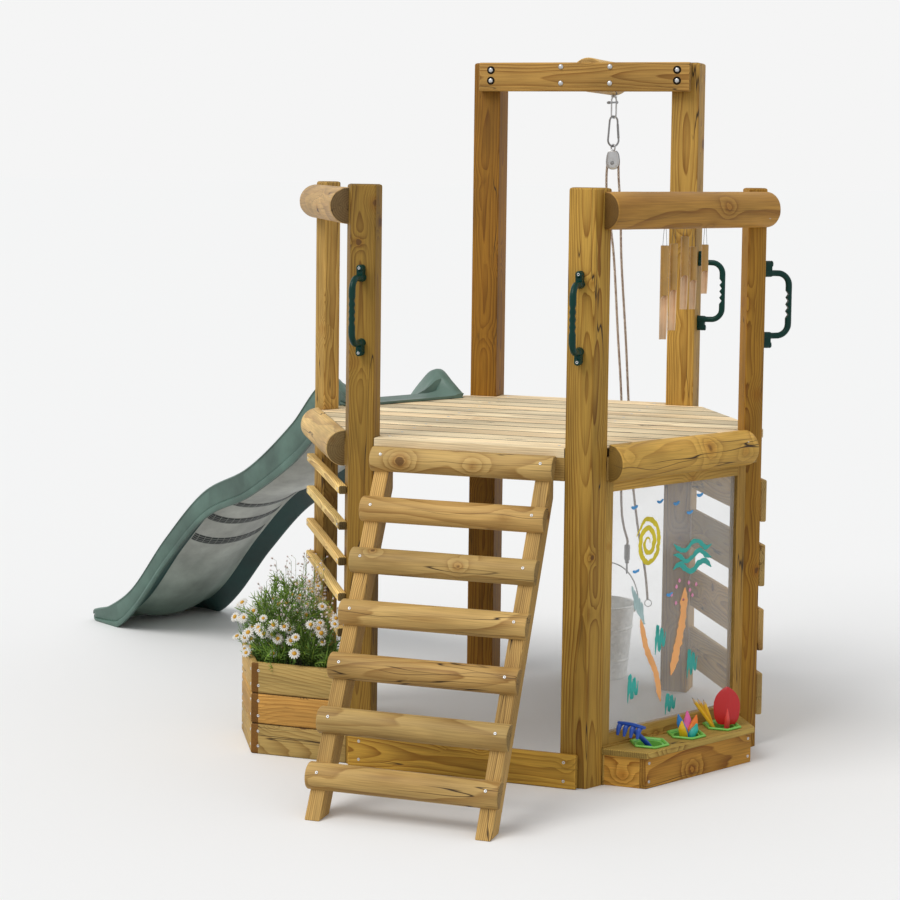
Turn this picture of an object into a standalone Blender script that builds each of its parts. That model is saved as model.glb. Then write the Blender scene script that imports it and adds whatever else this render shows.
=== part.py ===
"""Wooden play treehouse: a six-sided tower with a deck, a ladder, a wavy slide, a climbing
side, a paint window with a pot shelf, a planter, wind chimes and a bucket hoist.

Metres, +Z up. The ladder side faces -Y. The tower is laid out about its own middle, and the
whole model is then moved so that the middle of its footprint on the ground is the origin.
"""
import bpy
import bmesh
import math
from mathutils import Matrix, Vector

# Fit of the pieces
SEAT_GAP = 0.0003

# Tower
TOWER_SIDE = 0.682
SHORT_POST_HEIGHT = 1.590
TALL_POST_HEIGHT = 1.967
POST_THICKNESS = 0.053
POST_FACE_WIDTH = 0.072
POST_TOP_CHAMFER = 0.007
SIDE_POST_SIZE = 0.058
SIDE_POST_FLAT = 0.021
BACK_POST_X = 0.3208
BACK_POST_Y = 0.5836
BACK_POST_WIDTH = 0.086
BACK_POST_DEPTH = 0.092

# Deck and the beams under it
DECK_TOP = 0.905
DECK_THICKNESS = 0.025
DECK_BOARD_COUNT = 12
DECK_BOARD_GAP = 0.003
DECK_WEB = 0.004
NOTCH_GAP = 0.002
DECK_SIDE_SETBACK = 0.0126
DECK_CLIMB_OVERHANG = 0.020
DECK_BACK_OVERHANG = 0.010
RIM_BEAM_THICKNESS = 0.028
RIM_BEAM_HEIGHT = 0.062
JOIST_WIDTH = 0.045
JOIST_SPACING = 0.320
CROSS_JOIST_PLACE = 0.240

# Half-round logs
LOG_DIAMETER = 0.100
LOG_DEPTH = 0.052
HANDRAIL_DROP = 0.060
HANDRAIL_START = 0.034
HANDRAIL_LENGTH = 0.646
DECK_LOG_DROP = 0.041
DECK_LOG_START = 0.066
DECK_LOG_LENGTH = 0.545
LOG_END_CHAMFER = 0.005

# Ladder
LADDER_X = -0.005
LADDER_SLOPE = math.radians(60)
LADDER_REACH = 0.5143
STRINGER_THICKNESS = 0.040
STRINGER_DEPTH = 0.060
STRINGER_SPREAD = 0.450
STRINGER_TOP = 0.872
RUNG_COUNT = 7
RUNG_DIAMETER = 0.070
RUNG_DEPTH = 0.036
RUNG_LENGTH = 0.510
LOWEST_RUNG = 0.099
RUNG_SPACING = 0.1447

# Boards of the sides
KICKBOARD_THICKNESS = 0.020
KICKBOARD_HEIGHT = 0.092
KICKBOARD_LENGTH = 0.650
GROUND_CLEARANCE = 0.0003
BATTEN_COUNT = 5
BATTEN_SIZE = 0.024
BATTEN_DROP = 0.058
BATTEN_SPACING = 0.0985
BATTEN_START = 0.012
BATTEN_LENGTH = 0.664
CLIMB_BOARD_COUNT = 4
CLIMB_BOARD_HEIGHT = 0.120
CLIMB_BOARD_THICKNESS = 0.018
CLIMB_BOARD_LENGTH = 0.6335
TOP_CLIMB_BOARD = 0.705
CLIMB_BOARD_SPACING = 0.185

# Paint window
WINDOW_START = 0.0573
WINDOW_LENGTH = 0.5686
WINDOW_SETBACK = -0.008
WINDOW_BOTTOM = 0.1015
WINDOW_RAIL = 0.032
WINDOW_STILE = 0.036
WINDOW_FRAME_DEPTH = 0.026
PANE_THICKNESS = 0.004

# Pot shelf and its cups
SHELF_START = 0.067
SHELF_LENGTH = 0.536
SHELF_DEPTH = 0.100
SHELF_BOX_HEIGHT = 0.083
SHELF_WALL = 0.015
SHELF_TOP_THICKNESS = 0.017
SHELF_OVERHANG = 0.010
CUP_COUNT = 3
CUP_SPACING = 0.145
CUP_SETOUT = 0.050
CUP_FLANGE_RADIUS = 0.042
CUP_MOUTH_RADIUS = 0.0335
CUP_BASE_RADIUS = 0.027
CUP_DEPTH = 0.060
CUP_WALL = 0.0022
CUP_FLANGE_THICKNESS = 0.003

# Planter
PLANTER_BACK = 0.538
PLANTER_REACH = 0.245
PLANTER_WALL = 0.018
PLANTER_TIERS = 3
PLANTER_TIER_HEIGHT = 0.084
PLANTER_JOINT = 0.0015
PLANTER_FLOOR = 0.012
SOIL_LEVEL = 0.225
PLANT_HEIGHT = 0.300
PLANT_COUNT = 19

# Slide
SLIDE_WIDTH = 0.460
SLIDE_SHIFT = -0.015
SLIDE_SKIN = 0.007
SLIDE_RIM_WIDTH = 0.032
SLIDE_SKIRT = 0.024
SLIDE_RIM_LINE = ((-0.055, 0.918), (-0.010, 0.950), (0.060, 0.990), (0.133, 0.941), (0.248, 0.826),
                  (0.480, 0.660), (0.730, 0.549), (0.955, 0.362), (1.155, 0.162), (1.300, 0.075),
                  (1.400, 0.046))
SLIDE_WALL_LINE = ((-0.055, 0.012), (-0.002, 0.040), (0.004, 0.062), (0.060, 0.140), (0.133, 0.150),
                   (0.248, 0.128), (0.480, 0.097), (0.955, 0.088), (1.155, 0.085), (1.260, 0.092),
                   (1.300, 0.080), (1.400, 0.050))
SLIDE_CLEAR = 0.004
SLIDE_GROUND = 0.0003
SLIDE_RIB_PLACES = (0.395, 0.475, 0.555)
SLIDE_RIB_DROP = 0.007
SLIDE_RIB_WIDTH = 0.026
SLIDE_STATIONS = 34

# Grab handles
HANDLE_DROP = 0.340
HANDLE_STEP = 0.012
HANDLE_MOUNT_SPREAD = 0.218
HANDLE_ARM_SPREAD = 0.184
HANDLE_REACH = 0.076
HANDLE_BAR_RADIUS = 0.0095
HANDLE_FINGERS = 5
HANDLE_FINGER_DEPTH = 0.0030

# Bucket hoist
CROSSBAR_LENGTH = 0.680
CROSSBAR_HEIGHT = 0.090
CROSSBAR_THICKNESS = 0.028
ARM_X = 0.008
ARM_RISE = 0.008
ARM_DIAMETER = 0.108
ARM_LENGTH = 0.348
HANG_X = 0.014
HANG_Y = 0.852
EYE_RADIUS = 0.0125
EYE_LENGTH = 0.070
EYE_WASHER = 0.004
EYE_WASHER_RADIUS = 0.010
LINK_WIRE = 0.0028
CARABINER_LENGTH = 0.098
CARABINER_WIRE = 0.0030
CARABINER_WIDE = 0.024
CARABINER_NARROW = 0.015
CARABINER_TURN = math.radians(52)
BLOCK_EYE_RADIUS = 0.010
BLOCK_DROP = 0.040
CHEEK_WIDTH = 0.044
CHEEK_THICKNESS = 0.002
SHEAVE_RADIUS = 0.0185
SHEAVE_WIDTH = 0.0115
SHEAVE_CLEARANCE = 0.0008
AXLE_RADIUS = 0.0035
AXLE_CLEARANCE = 0.0005
ROPE_DIAMETER = 0.008
ROPE_BED_EASE = 0.0006
ROPE_BEND_STEPS = 5
FERRULE_RADIUS = 0.0095
FERRULE_LENGTH = 0.050
BUCKET_ROPE_LINE = ((-0.0045, 0.846, 1.575), (0.018, 0.829, 1.436), (0.034, 0.816, 1.330),
                    (0.056, 0.792, 1.108), (0.078, 0.769, 0.889), (0.088, 0.742, 0.680),
                    (0.100, 0.718, 0.520))
HAND_ROPE_LINE = ((0.036, 0.847, 1.601), (0.046, 0.839, 1.500), (0.054, 0.832, 1.337),
                  (0.076, 0.822, 1.080), (0.098, 0.796, 0.840), (0.119, 0.770, 0.640),
                  (0.146, 0.751, 0.475), (0.176, 0.736, 0.336), (0.188, 0.727, 0.246))
BUCKET_CENTRE = (0.050, 0.672)
BUCKET_HEIGHT = 0.240
BUCKET_TOP_RADIUS = 0.106
BUCKET_BASE_RADIUS = 0.084
BUCKET_WALL = 0.0024
BUCKET_RIM_RADIUS = 0.0036
BUCKET_TURN = math.radians(16.5)
BUCKET_FOOT = 0.006
BUCKET_BEADS = (0.060, 0.165)
EAR_HEIGHT = 0.222
EAR_SIZE = 0.024
EAR_THICKNESS = 0.009
BAIL_WIRE = 0.0022
BAIL_RISE = 0.148
HOOK_STATION = 17
HOOK_WIRE = 0.0026
HOOK_HALF_WIDTH = 0.009
HOOK_STRAIGHT = 0.014
BAIL_CLEARANCE = 0.0009

# Wind chimes
CHIME_TUBES = ((0.252, 0.0110, 0.252, 0.044), (0.287, 0.0105, 0.233, 0.040),
               (0.331, 0.0110, 0.197, 0.021), (0.366, 0.0100, 0.170, 0.049),
               (0.412, 0.0095, 0.134, 0.044))
CHIME_SETOUT = 0.012
CHIME_SEAT = 0.0004
CHIME_STRING_RADIUS = 0.0009
CHIME_BORE = 0.65
CHIME_CUT_SHARE = 0.46

# Colours, as red, green and blue
PINE = (0.46, 0.30, 0.11)
PALE_PINE = (0.66, 0.50, 0.28)
DECK_PINE = (0.84, 0.68, 0.43)
SLIDE_GREEN = (0.115, 0.205, 0.175)
HANDLE_GREEN = (0.008, 0.075, 0.070)
STEEL = (0.56, 0.57, 0.58)
ZINC = (0.62, 0.63, 0.64)
ROPE_TAN = (0.33, 0.23, 0.16)
CLEAR = (0.80, 0.82, 0.82)
BAMBOO = (0.62, 0.37, 0.18)
CUP_GREEN = (0.22, 0.62, 0.12)
LEAF_GREEN = (0.16, 0.30, 0.06)

# Nodes that are left out of the footprint
CORD_NODES = ("rope_bucket_side", "rope_hand_side")

# Worked out from the sizes above
APOTHEM = TOWER_SIDE * math.sqrt(3) / 2
DECK_UNDERSIDE = DECK_TOP - DECK_THICKNESS
DECK_SIDE_REACH = APOTHEM - DECK_SIDE_SETBACK
RIM_TOP = DECK_UNDERSIDE - SEAT_GAP
WINDOW_TOP = RIM_TOP - RIM_BEAM_HEIGHT - SEAT_GAP
LOG_RADIUS = LOG_DIAMETER / 2
HANDRAIL_HEIGHT = SHORT_POST_HEIGHT - HANDRAIL_DROP
DECK_LOG_HEIGHT = DECK_TOP - DECK_LOG_DROP
TOP_BATTEN_HEIGHT = DECK_LOG_HEIGHT - LOG_RADIUS - BATTEN_DROP
HANDLE_HEIGHT = SHORT_POST_HEIGHT - HANDLE_DROP
RUNG_RADIUS = RUNG_DIAMETER / 2
FRONT = -APOTHEM
LADDER_FOOT = FRONT - LADDER_REACH
SHELF_TOP_HEIGHT = SHELF_BOX_HEIGHT + SEAT_GAP + SHELF_TOP_THICKNESS
CROSSBAR_MIDDLE = TALL_POST_HEIGHT - CROSSBAR_HEIGHT / 2
ARM_HEIGHT = CROSSBAR_MIDDLE + ARM_RISE
CROSSBAR_FACE = BACK_POST_Y - BACK_POST_DEPTH / 2 - SEAT_GAP


def heading(degrees):
    """Unit vector on the ground plan, counted from +X towards +Y."""
    angle = math.radians(degrees)
    return Vector((math.cos(angle), math.sin(angle), 0))


class Side:
    """One side of the tower: where it starts, which way it runs and which way it faces."""

    def __init__(self, corner, run, facing):
        self.start = heading(corner) * TOWER_SIDE
        self.run = heading(run)
        self.out = heading(facing)

    def at(self, along, out, height=0.0):
        """Point a distance along the side, out from its face, and up."""
        return self.start + self.run * along + self.out * out + Vector((0, 0, height))


FRONT_SIDE = Side(240, 0, 270)
LEFT_SIDE = Side(240, 120, 210)
RIGHT_SIDE = Side(300, 60, 330)
CLIMB_SIDE = Side(0, 120, 30)
SLIDE_SIDE = Side(180, 60, 150)
BACK_SIDE = Side(60, 180, 90)


# Making objects

def clear_scene():
    for thing in list(bpy.data.objects):
        bpy.data.objects.remove(thing, do_unlink=True)


def material(name, colour, roughness, metallic=0.0):
    finish = bpy.data.materials.new(name)
    finish.use_nodes = True
    shader = finish.node_tree.nodes["Principled BSDF"]
    shader.inputs["Base Color"].default_value = (*colour, 1)
    shader.inputs["Roughness"].default_value = roughness
    shader.inputs["Metallic"].default_value = metallic
    finish.diffuse_color = (*colour, 1)
    return finish


def place(name, body, finish, smooth=None):
    """Turn a bmesh into a named object with one material."""
    bmesh.ops.recalc_face_normals(body, faces=body.faces)
    mesh = bpy.data.meshes.new(name)
    body.to_mesh(mesh)
    body.free()
    thing = bpy.data.objects.new(name, mesh)
    bpy.context.scene.collection.objects.link(thing)
    mesh.materials.append(finish)
    if smooth is not None:
        mesh.shade_smooth()
        mesh.set_sharp_from_angle(angle=math.radians(smooth))
    return thing


def join_into(body, other):
    """Add the faces of one bmesh to another and free it."""
    bmesh.ops.recalc_face_normals(other, faces=other.faces)
    scratch = bpy.data.meshes.new("scratch")
    other.to_mesh(scratch)
    other.free()
    body.from_mesh(scratch)
    bpy.data.meshes.remove(scratch)


def extrude_outline(outline, travel):
    """Closed prism: an outline of points, carried along one vector."""
    body = bmesh.new()
    first = [body.verts.new(point) for point in outline]
    last = [body.verts.new(Vector(point) + travel) for point in outline]
    body.faces.new(first)
    body.faces.new(list(reversed(last)))
    count = len(outline)
    for i in range(count):
        j = (i + 1) % count
        body.faces.new((first[j], first[i], last[i], last[j]))
    bmesh.ops.recalc_face_normals(body, faces=body.faces)
    return body


def chamfer_edges(body, width, wanted=None, segments=1):
    edges = [edge for edge in body.edges if wanted is None or wanted(edge)]
    bmesh.ops.bevel(body, geom=edges, offset=width, segments=segments, affect='EDGES',
                    profile=0.5, clamp_overlap=True)


def box(centre, along, across, sizes, chamfer=0.0):
    """Block with its length, width and height along three square directions."""
    along = along.normalized()
    across = across.normalized()
    up = along.cross(across).normalized()
    half_length, half_width, half_height = (size / 2 for size in sizes)
    corners = [centre - along * half_length + across * a * half_width + up * b * half_height
               for a, b in ((-1, -1), (1, -1), (1, 1), (-1, 1))]
    body = extrude_outline(corners, along * sizes[0])
    if chamfer:
        chamfer_edges(body, chamfer)
    return body


def upright(points, low, high):
    """Prism with a plan outline, standing between two heights."""
    outline = [Vector((point[0], point[1], low)) for point in points]
    return extrude_outline(outline, Vector((0, 0, high - low)))


def side_board(side, start, length, inner, thickness, low, high, chamfer=0.002):
    """Board that lies along a side of the tower, inner being its distance out from the face."""
    centre = side.at(start + length / 2, inner + thickness / 2, (low + high) / 2)
    return box(centre, side.run, side.out, (length, thickness, high - low), chamfer)


def sweep(path, outline_at, closed=False):
    """Skin a ring of points along a path; each ring comes from outline_at(index)."""
    body = bmesh.new()
    rings = [[body.verts.new(point) for point in outline_at(index)] for index in range(len(path))]
    count = len(rings[0])
    pairs = list(zip(rings, rings[1:]))
    if closed:
        pairs.append((rings[-1], rings[0]))
    for near, far in pairs:
        for i in range(count):
            j = (i + 1) % count
            body.faces.new((near[i], near[j], far[j], far[i]))
    if not closed:
        body.faces.new(list(reversed(rings[0])))
        body.faces.new(rings[-1])
    bmesh.ops.recalc_face_normals(body, faces=body.faces)
    return body


def frames_along(path, closed=False):
    """Two directions square to the path at each point, carried on without twist."""
    count = len(path)
    tangents = []
    for i in range(count):
        if closed:
            step = path[(i + 1) % count] - path[i - 1]
        else:
            step = path[min(i + 1, count - 1)] - path[max(i - 1, 0)]
        tangents.append(step.normalized())
    guide = Vector((0, 0, 1)) if abs(tangents[0].z) < 0.9 else Vector((0, 1, 0))
    side = tangents[0].cross(guide).normalized()
    frames = []
    for tangent in tangents:
        side = (side - tangent * side.dot(tangent)).normalized()
        frames.append((side, tangent.cross(side).normalized()))
    return frames


def tube(path, radius, sides=8, closed=False):
    """Round bar along a path; radius may be one number or one for each point."""
    frames = frames_along(path, closed)
    radii = radius if isinstance(radius, (list, tuple)) else [radius] * len(path)

    def ring(index):
        across, up = frames[index]
        turns = [2 * math.pi * k / sides for k in range(sides)]
        return [path[index] + (across * math.cos(a) + up * math.sin(a)) * radii[index]
                for a in turns]

    return sweep(path, ring, closed)


def turned(profile, segments, centre=Vector((0, 0, 0)), axis=Vector((0, 0, 1)), start=0.0):
    """Solid of revolution: a closed profile of (radius, height), spun about an axis.

    A profile point on the axis becomes one vertex there."""
    turn = Vector((0, 0, 1)).rotation_difference(axis).to_matrix()
    body = bmesh.new()
    rings = []
    for radius, height in profile:
        if radius < 1e-6:
            rings.append([body.verts.new(centre + turn @ Vector((0, 0, height)))])
            continue
        angles = [start + 2 * math.pi * k / segments for k in range(segments)]
        rings.append([body.verts.new(centre + turn @ Vector((radius * math.cos(a),
                                                             radius * math.sin(a), height)))
                      for a in angles])
    for near, far in zip(rings, rings[1:] + rings[:1]):
        if len(near) == 1 and len(far) == 1:
            continue
        for k in range(segments):
            m = (k + 1) % segments
            corners = [near[k % len(near)], near[m % len(near)], far[m % len(far)], far[k % len(far)]]
            body.faces.new(list(dict.fromkeys(corners)))
    bmesh.ops.recalc_face_normals(body, faces=body.faces)
    return body


def combine(target, tool, operation='UNION'):
    """Boolean of two bmeshes, through short-lived objects."""
    things = []
    for number, body in enumerate((target, tool)):
        bmesh.ops.recalc_face_normals(body, faces=body.faces)
        mesh = bpy.data.meshes.new("blank")
        body.to_mesh(mesh)
        body.free()
        thing = bpy.data.objects.new("blank_%d" % number, mesh)
        bpy.context.scene.collection.objects.link(thing)
        things.append(thing)
    cut = things[0].modifiers.new("cut", 'BOOLEAN')
    cut.operation = operation
    cut.solver = 'EXACT'
    cut.object = things[1]
    bpy.context.view_layer.update()
    evaluated = things[0].evaluated_get(bpy.context.evaluated_depsgraph_get())
    result = bmesh.new()
    result.from_mesh(evaluated.to_mesh())
    evaluated.to_mesh_clear()
    for thing in things:
        mesh = thing.data
        bpy.data.objects.remove(thing, do_unlink=True)
        bpy.data.meshes.remove(mesh)
    bmesh.ops.dissolve_limit(result, angle_limit=math.radians(0.5), verts=result.verts,
                             edges=result.edges)
    bmesh.ops.triangulate(result, faces=result.faces)
    return result


def smooth_line(points, places):
    """Height of a smooth line through a few points, read at each place (cubic Hermite)."""
    slopes = []
    for i, point in enumerate(points):
        before = points[max(i - 1, 0)]
        after = points[min(i + 1, len(points) - 1)]
        slopes.append((after[1] - before[1]) / (after[0] - before[0]))
    heights = []
    for place_along in places:
        i = 0
        while i < len(points) - 2 and place_along > points[i + 1][0]:
            i += 1
        (x0, y0), (x1, y1) = points[i], points[i + 1]
        span = x1 - x0
        s = (place_along - x0) / span
        heights.append((2 * s ** 3 - 3 * s ** 2 + 1) * y0 + (s ** 3 - 2 * s ** 2 + s) * span * slopes[i]
                       + (3 * s ** 2 - 2 * s ** 3) * y1 + (s ** 3 - s ** 2) * span * slopes[i + 1])
    return heights


def moved_to(thing, origin):
    """Give an object its origin at a point, without moving its surface."""
    thing.data.transform(Matrix.Translation(-origin))
    thing.location = origin
    return thing


def meet(first_normal, first_distance, second_normal, second_distance):
    """Point on the plan where two lines cross, each given as normal . point = distance."""
    a, b = first_normal.x, first_normal.y
    c, d = second_normal.x, second_normal.y
    whole = a * d - b * c
    return Vector(((first_distance * d - b * second_distance) / whole,
                   (a * second_distance - first_distance * c) / whole, 0))


def inset(outline, distance):
    """Plan outline moved in by a distance, the corners kept sharp."""
    count = len(outline)
    middle = sum(outline, Vector((0, 0, 0))) / count
    lines = []
    for i in range(count):
        edge = (outline[(i + 1) % count] - outline[i]).normalized()
        normal = Vector((edge.y, -edge.x, 0))
        if normal.dot(outline[i] - middle) < 0:
            normal = -normal
        lines.append((normal, normal.dot(outline[i]) - distance))
    return [meet(*lines[i - 1], *lines[i]) for i in range(count)]


def walled_box(outline, profile):
    """Open box of any plan: a closed profile of (inset, height) carried round the outline.

    The profile starts at the underside and ends on the inner floor."""
    body = bmesh.new()
    rings = []
    for distance, height in profile:
        rings.append([body.verts.new((point.x, point.y, height)) for point in inset(outline, distance)])
    count = len(outline)
    for near, far in zip(rings, rings[1:]):
        for i in range(count):
            j = (i + 1) % count
            body.faces.new((near[i], near[j], far[j], far[i]))
    body.faces.new(rings[0])
    body.faces.new(rings[-1])
    bmesh.ops.recalc_face_normals(body, faces=body.faces)
    return body


def united(bodies):
    """Boolean union of several bodies that overlap one another."""
    whole = bodies[0]
    for body in bodies[1:]:
        whole = combine(whole, body)
    return whole


def merged(bodies):
    """One bmesh that holds several closed bodies."""
    first = bodies[0]
    for body in bodies[1:]:
        join_into(first, body)
    return first


# Posts

def front_post_outline(hand):
    """Plan of a front post; hand is -1 for the left and 1 for the right."""
    edge = hand * TOWER_SIDE / 2
    spread = POST_THICKNESS / math.tan(math.radians(60))
    back = FRONT + POST_THICKNESS
    return [Vector((edge, FRONT, 0)), Vector((edge + hand * spread, back, 0)),
            Vector((edge - hand * POST_FACE_WIDTH, back, 0)),
            Vector((edge - hand * POST_FACE_WIDTH, FRONT, 0))]


def side_post_outline(hand):
    """Plan of the post at the left or right corner, with a narrow flat for the handrail log."""
    corner = Vector((hand * TOWER_SIDE, 0, 0))
    away = Vector((hand * heading(30).x, heading(30).y, 0))
    along = Vector((-hand * heading(60).x, heading(60).y, 0))
    flat = corner + Vector((-hand * heading(60).x, -heading(60).y, 0)) * SIDE_POST_FLAT
    inner = flat - away * (SIDE_POST_SIZE - SIDE_POST_FLAT * math.cos(math.radians(30)))
    far = inner + along * SIDE_POST_SIZE
    return [corner, flat, inner, far, far + away * SIDE_POST_SIZE]


def back_post_outline(hand):
    """Plan of a tall post at the back."""
    x = hand * BACK_POST_X
    half_width, half_depth = BACK_POST_WIDTH / 2, BACK_POST_DEPTH / 2
    return [Vector((x - half_width, BACK_POST_Y - half_depth, 0)),
            Vector((x + half_width, BACK_POST_Y - half_depth, 0)),
            Vector((x + half_width, BACK_POST_Y + half_depth, 0)),
            Vector((x - half_width, BACK_POST_Y + half_depth, 0))]


def post(name, outline, height, finish):
    body = upright(outline, 0, height)
    chamfer_edges(body, POST_TOP_CHAMFER,
                  lambda edge: all(v.co.z > height - 1e-4 for v in edge.verts), 2)
    chamfer_edges(body, 0.0025, lambda edge: abs(edge.verts[0].co.z - edge.verts[1].co.z) > 1)
    return place(name, body, finish)


def build_posts(pine):
    post("post_front_left", front_post_outline(-1), SHORT_POST_HEIGHT, pine)
    post("post_front_right", front_post_outline(1), SHORT_POST_HEIGHT, pine)
    post("post_left", side_post_outline(-1), SHORT_POST_HEIGHT, pine)
    post("post_right", side_post_outline(1), SHORT_POST_HEIGHT, pine)
    post("post_back_left", back_post_outline(-1), TALL_POST_HEIGHT, pine)
    post("post_back_right", back_post_outline(1), TALL_POST_HEIGHT, pine)


# Deck boards, the beams round their edge and the joists

def deck_outline():
    """Plan of the deck, with a notch round each post."""
    right = []
    front_notch_x = TOWER_SIDE / 2 - POST_FACE_WIDTH - NOTCH_GAP
    front_notch_y = FRONT + POST_THICKNESS + NOTCH_GAP
    right.append(Vector((front_notch_x, FRONT, 0)))
    right.append(Vector((front_notch_x, front_notch_y, 0)))
    right.append(meet(RIGHT_SIDE.out, DECK_SIDE_REACH, Vector((0, 1, 0)), front_notch_y))
    corner, flat, inner, far, outer = side_post_outline(1)
    along = CLIMB_SIDE.run
    across = CLIMB_SIDE.out
    near_line = flat.dot(along) - NOTCH_GAP
    inner_line = inner.dot(across) - NOTCH_GAP
    far_line = far.dot(along) + NOTCH_GAP
    right.append(meet(RIGHT_SIDE.out, DECK_SIDE_REACH, along, near_line))
    right.append(meet(across, inner_line, along, near_line))
    right.append(meet(across, inner_line, along, far_line))
    right.append(meet(across, APOTHEM + DECK_CLIMB_OVERHANG, along, far_line))
    back_front = BACK_POST_Y - BACK_POST_DEPTH / 2 - NOTCH_GAP
    back_inner = BACK_POST_X - BACK_POST_WIDTH / 2 - NOTCH_GAP
    right.append(meet(across, APOTHEM + DECK_CLIMB_OVERHANG, Vector((0, 1, 0)), back_front))
    right.append(Vector((back_inner, back_front, 0)))
    right.append(Vector((back_inner, APOTHEM + DECK_BACK_OVERHANG, 0)))
    left = []
    for index, point in enumerate(right):
        mirrored = Vector((-point.x, point.y, 0))
        if index == 6:
            mirrored = meet(SLIDE_SIDE.out, APOTHEM, SLIDE_SIDE.run, far_line_left())
        if index == 7:
            mirrored = meet(SLIDE_SIDE.out, APOTHEM, Vector((0, 1, 0)), back_front)
        left.append(mirrored)
    return right + list(reversed(left))


def far_line_left():
    """How far along the slide side the deck starts, past the left post."""
    return side_post_outline(-1)[3].dot(SLIDE_SIDE.run) + NOTCH_GAP


def build_deck(deck_pine):
    whole_depth = 2 * APOTHEM + DECK_BACK_OVERHANG
    pitch = whole_depth / DECK_BOARD_COUNT
    slab = upright(deck_outline(), DECK_UNDERSIDE, DECK_TOP)
    joints = []
    for number in range(1, DECK_BOARD_COUNT):
        joints.append(box(Vector((0, FRONT + number * pitch, DECK_UNDERSIDE + DECK_WEB + 0.02)),
                          Vector((1, 0, 0)), Vector((0, 1, 0)), (1.6, DECK_BOARD_GAP, 0.04)))
    place("deck_boards", combine(slab, merged(joints), 'DIFFERENCE'), deck_pine)


def beam(side, start_line, end_line):
    """Beam under the deck, flush with a side of the tower, cut to meet the posts."""
    outer = side.out.dot(side.start)
    inner = outer - RIM_BEAM_THICKNESS
    plan = [meet(side.out, outer, *start_line), meet(side.out, inner, *start_line),
            meet(side.out, inner, *end_line), meet(side.out, outer, *end_line)]
    return upright(plan, RIM_TOP - RIM_BEAM_HEIGHT, RIM_TOP)


def build_beams(pine):
    front_back = (Vector((0, 1, 0)), FRONT + POST_THICKNESS + SEAT_GAP)
    back_front = (Vector((0, 1, 0)), BACK_POST_Y - BACK_POST_DEPTH / 2 - SEAT_GAP)
    front_end = TOWER_SIDE / 2 - POST_FACE_WIDTH - SEAT_GAP
    back_end = BACK_POST_X - BACK_POST_WIDTH / 2 - SEAT_GAP
    right_flat, right_inner, right_far = side_post_outline(1)[1:4]
    left_flat, left_inner, left_far = side_post_outline(-1)[1:4]
    x_axis = Vector((1, 0, 0))
    frame = []
    middle = RIM_TOP - RIM_BEAM_HEIGHT / 2
    reach = 2 * (APOTHEM - RIM_BEAM_THICKNESS / 2)
    for x in (-JOIST_SPACING / 2, JOIST_SPACING / 2):
        frame.append(box(Vector((x, 0, middle)), Vector((0, 1, 0)), x_axis,
                         (reach, JOIST_WIDTH, RIM_BEAM_HEIGHT - 0.006)))
    for y in (-CROSS_JOIST_PLACE, CROSS_JOIST_PLACE):
        half = (2 * APOTHEM - abs(y)) / math.sqrt(3) - RIM_BEAM_THICKNESS * 0.5
        frame.append(box(Vector((0, y, middle)), x_axis, Vector((0, 1, 0)),
                         (2 * half - 0.006, JOIST_WIDTH, RIM_BEAM_HEIGHT - 0.012)))
    frame.append(beam(FRONT_SIDE, (x_axis, -front_end), (x_axis, front_end)))
    frame.append(beam(BACK_SIDE, (x_axis, back_end), (x_axis, -back_end)))
    frame.append(beam(LEFT_SIDE, front_back,
                      (SLIDE_SIDE.run, left_flat.dot(SLIDE_SIDE.run) - SEAT_GAP)))
    frame.append(beam(RIGHT_SIDE, front_back,
                      (CLIMB_SIDE.run, right_flat.dot(CLIMB_SIDE.run) - SEAT_GAP)))
    frame.append(beam(SLIDE_SIDE, (SLIDE_SIDE.run, left_far.dot(SLIDE_SIDE.run) + SEAT_GAP),
                      back_front))
    frame.append(beam(CLIMB_SIDE, (CLIMB_SIDE.run, right_far.dot(CLIMB_SIDE.run) + SEAT_GAP),
                      back_front))
    place("deck_frame", united(frame), pine)


# Half-round logs

def log(name, side, start, length, height, finish):
    """Half-round log lying with its flat on a side of the tower."""
    centre_out = SEAT_GAP + LOG_DEPTH - LOG_RADIUS
    first = side.at(start, 0, height)
    points = [first + side.out * SEAT_GAP + Vector((0, 0, LOG_RADIUS))]
    points += [first + side.out * (centre_out + LOG_RADIUS * math.cos(a))
               + Vector((0, 0, LOG_RADIUS * math.sin(a)))
               for a in (math.pi / 2 - math.pi * k / 12 for k in range(13))]
    points.append(first + side.out * SEAT_GAP - Vector((0, 0, LOG_RADIUS)))
    body = extrude_outline(points, side.run * length)
    last = first + side.run * length
    chamfer_edges(body, LOG_END_CHAMFER, lambda edge: any(
        all(abs((v.co - end).dot(side.run)) < 1e-5 for v in edge.verts) for end in (first, last))
        and any((v.co - first).dot(side.out) > SEAT_GAP + 1e-5 for v in edge.verts))
    return place(name, body, finish, 32)


def build_logs(pine):
    for hand, side in (("left", LEFT_SIDE), ("right", RIGHT_SIDE)):
        log("handrail_log_" + hand, side, HANDRAIL_START, HANDRAIL_LENGTH, HANDRAIL_HEIGHT, pine)
        log("deck_log_" + hand, side, DECK_LOG_START, DECK_LOG_LENGTH, DECK_LOG_HEIGHT, pine)


# Ladder

def ladder_edge(height):
    """Y of the ladder's front edge at a height."""
    return LADDER_FOOT + height / math.tan(LADDER_SLOPE)


def rung_height(number):
    return LOWEST_RUNG + number * RUNG_SPACING * math.sin(LADDER_SLOPE)


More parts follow.
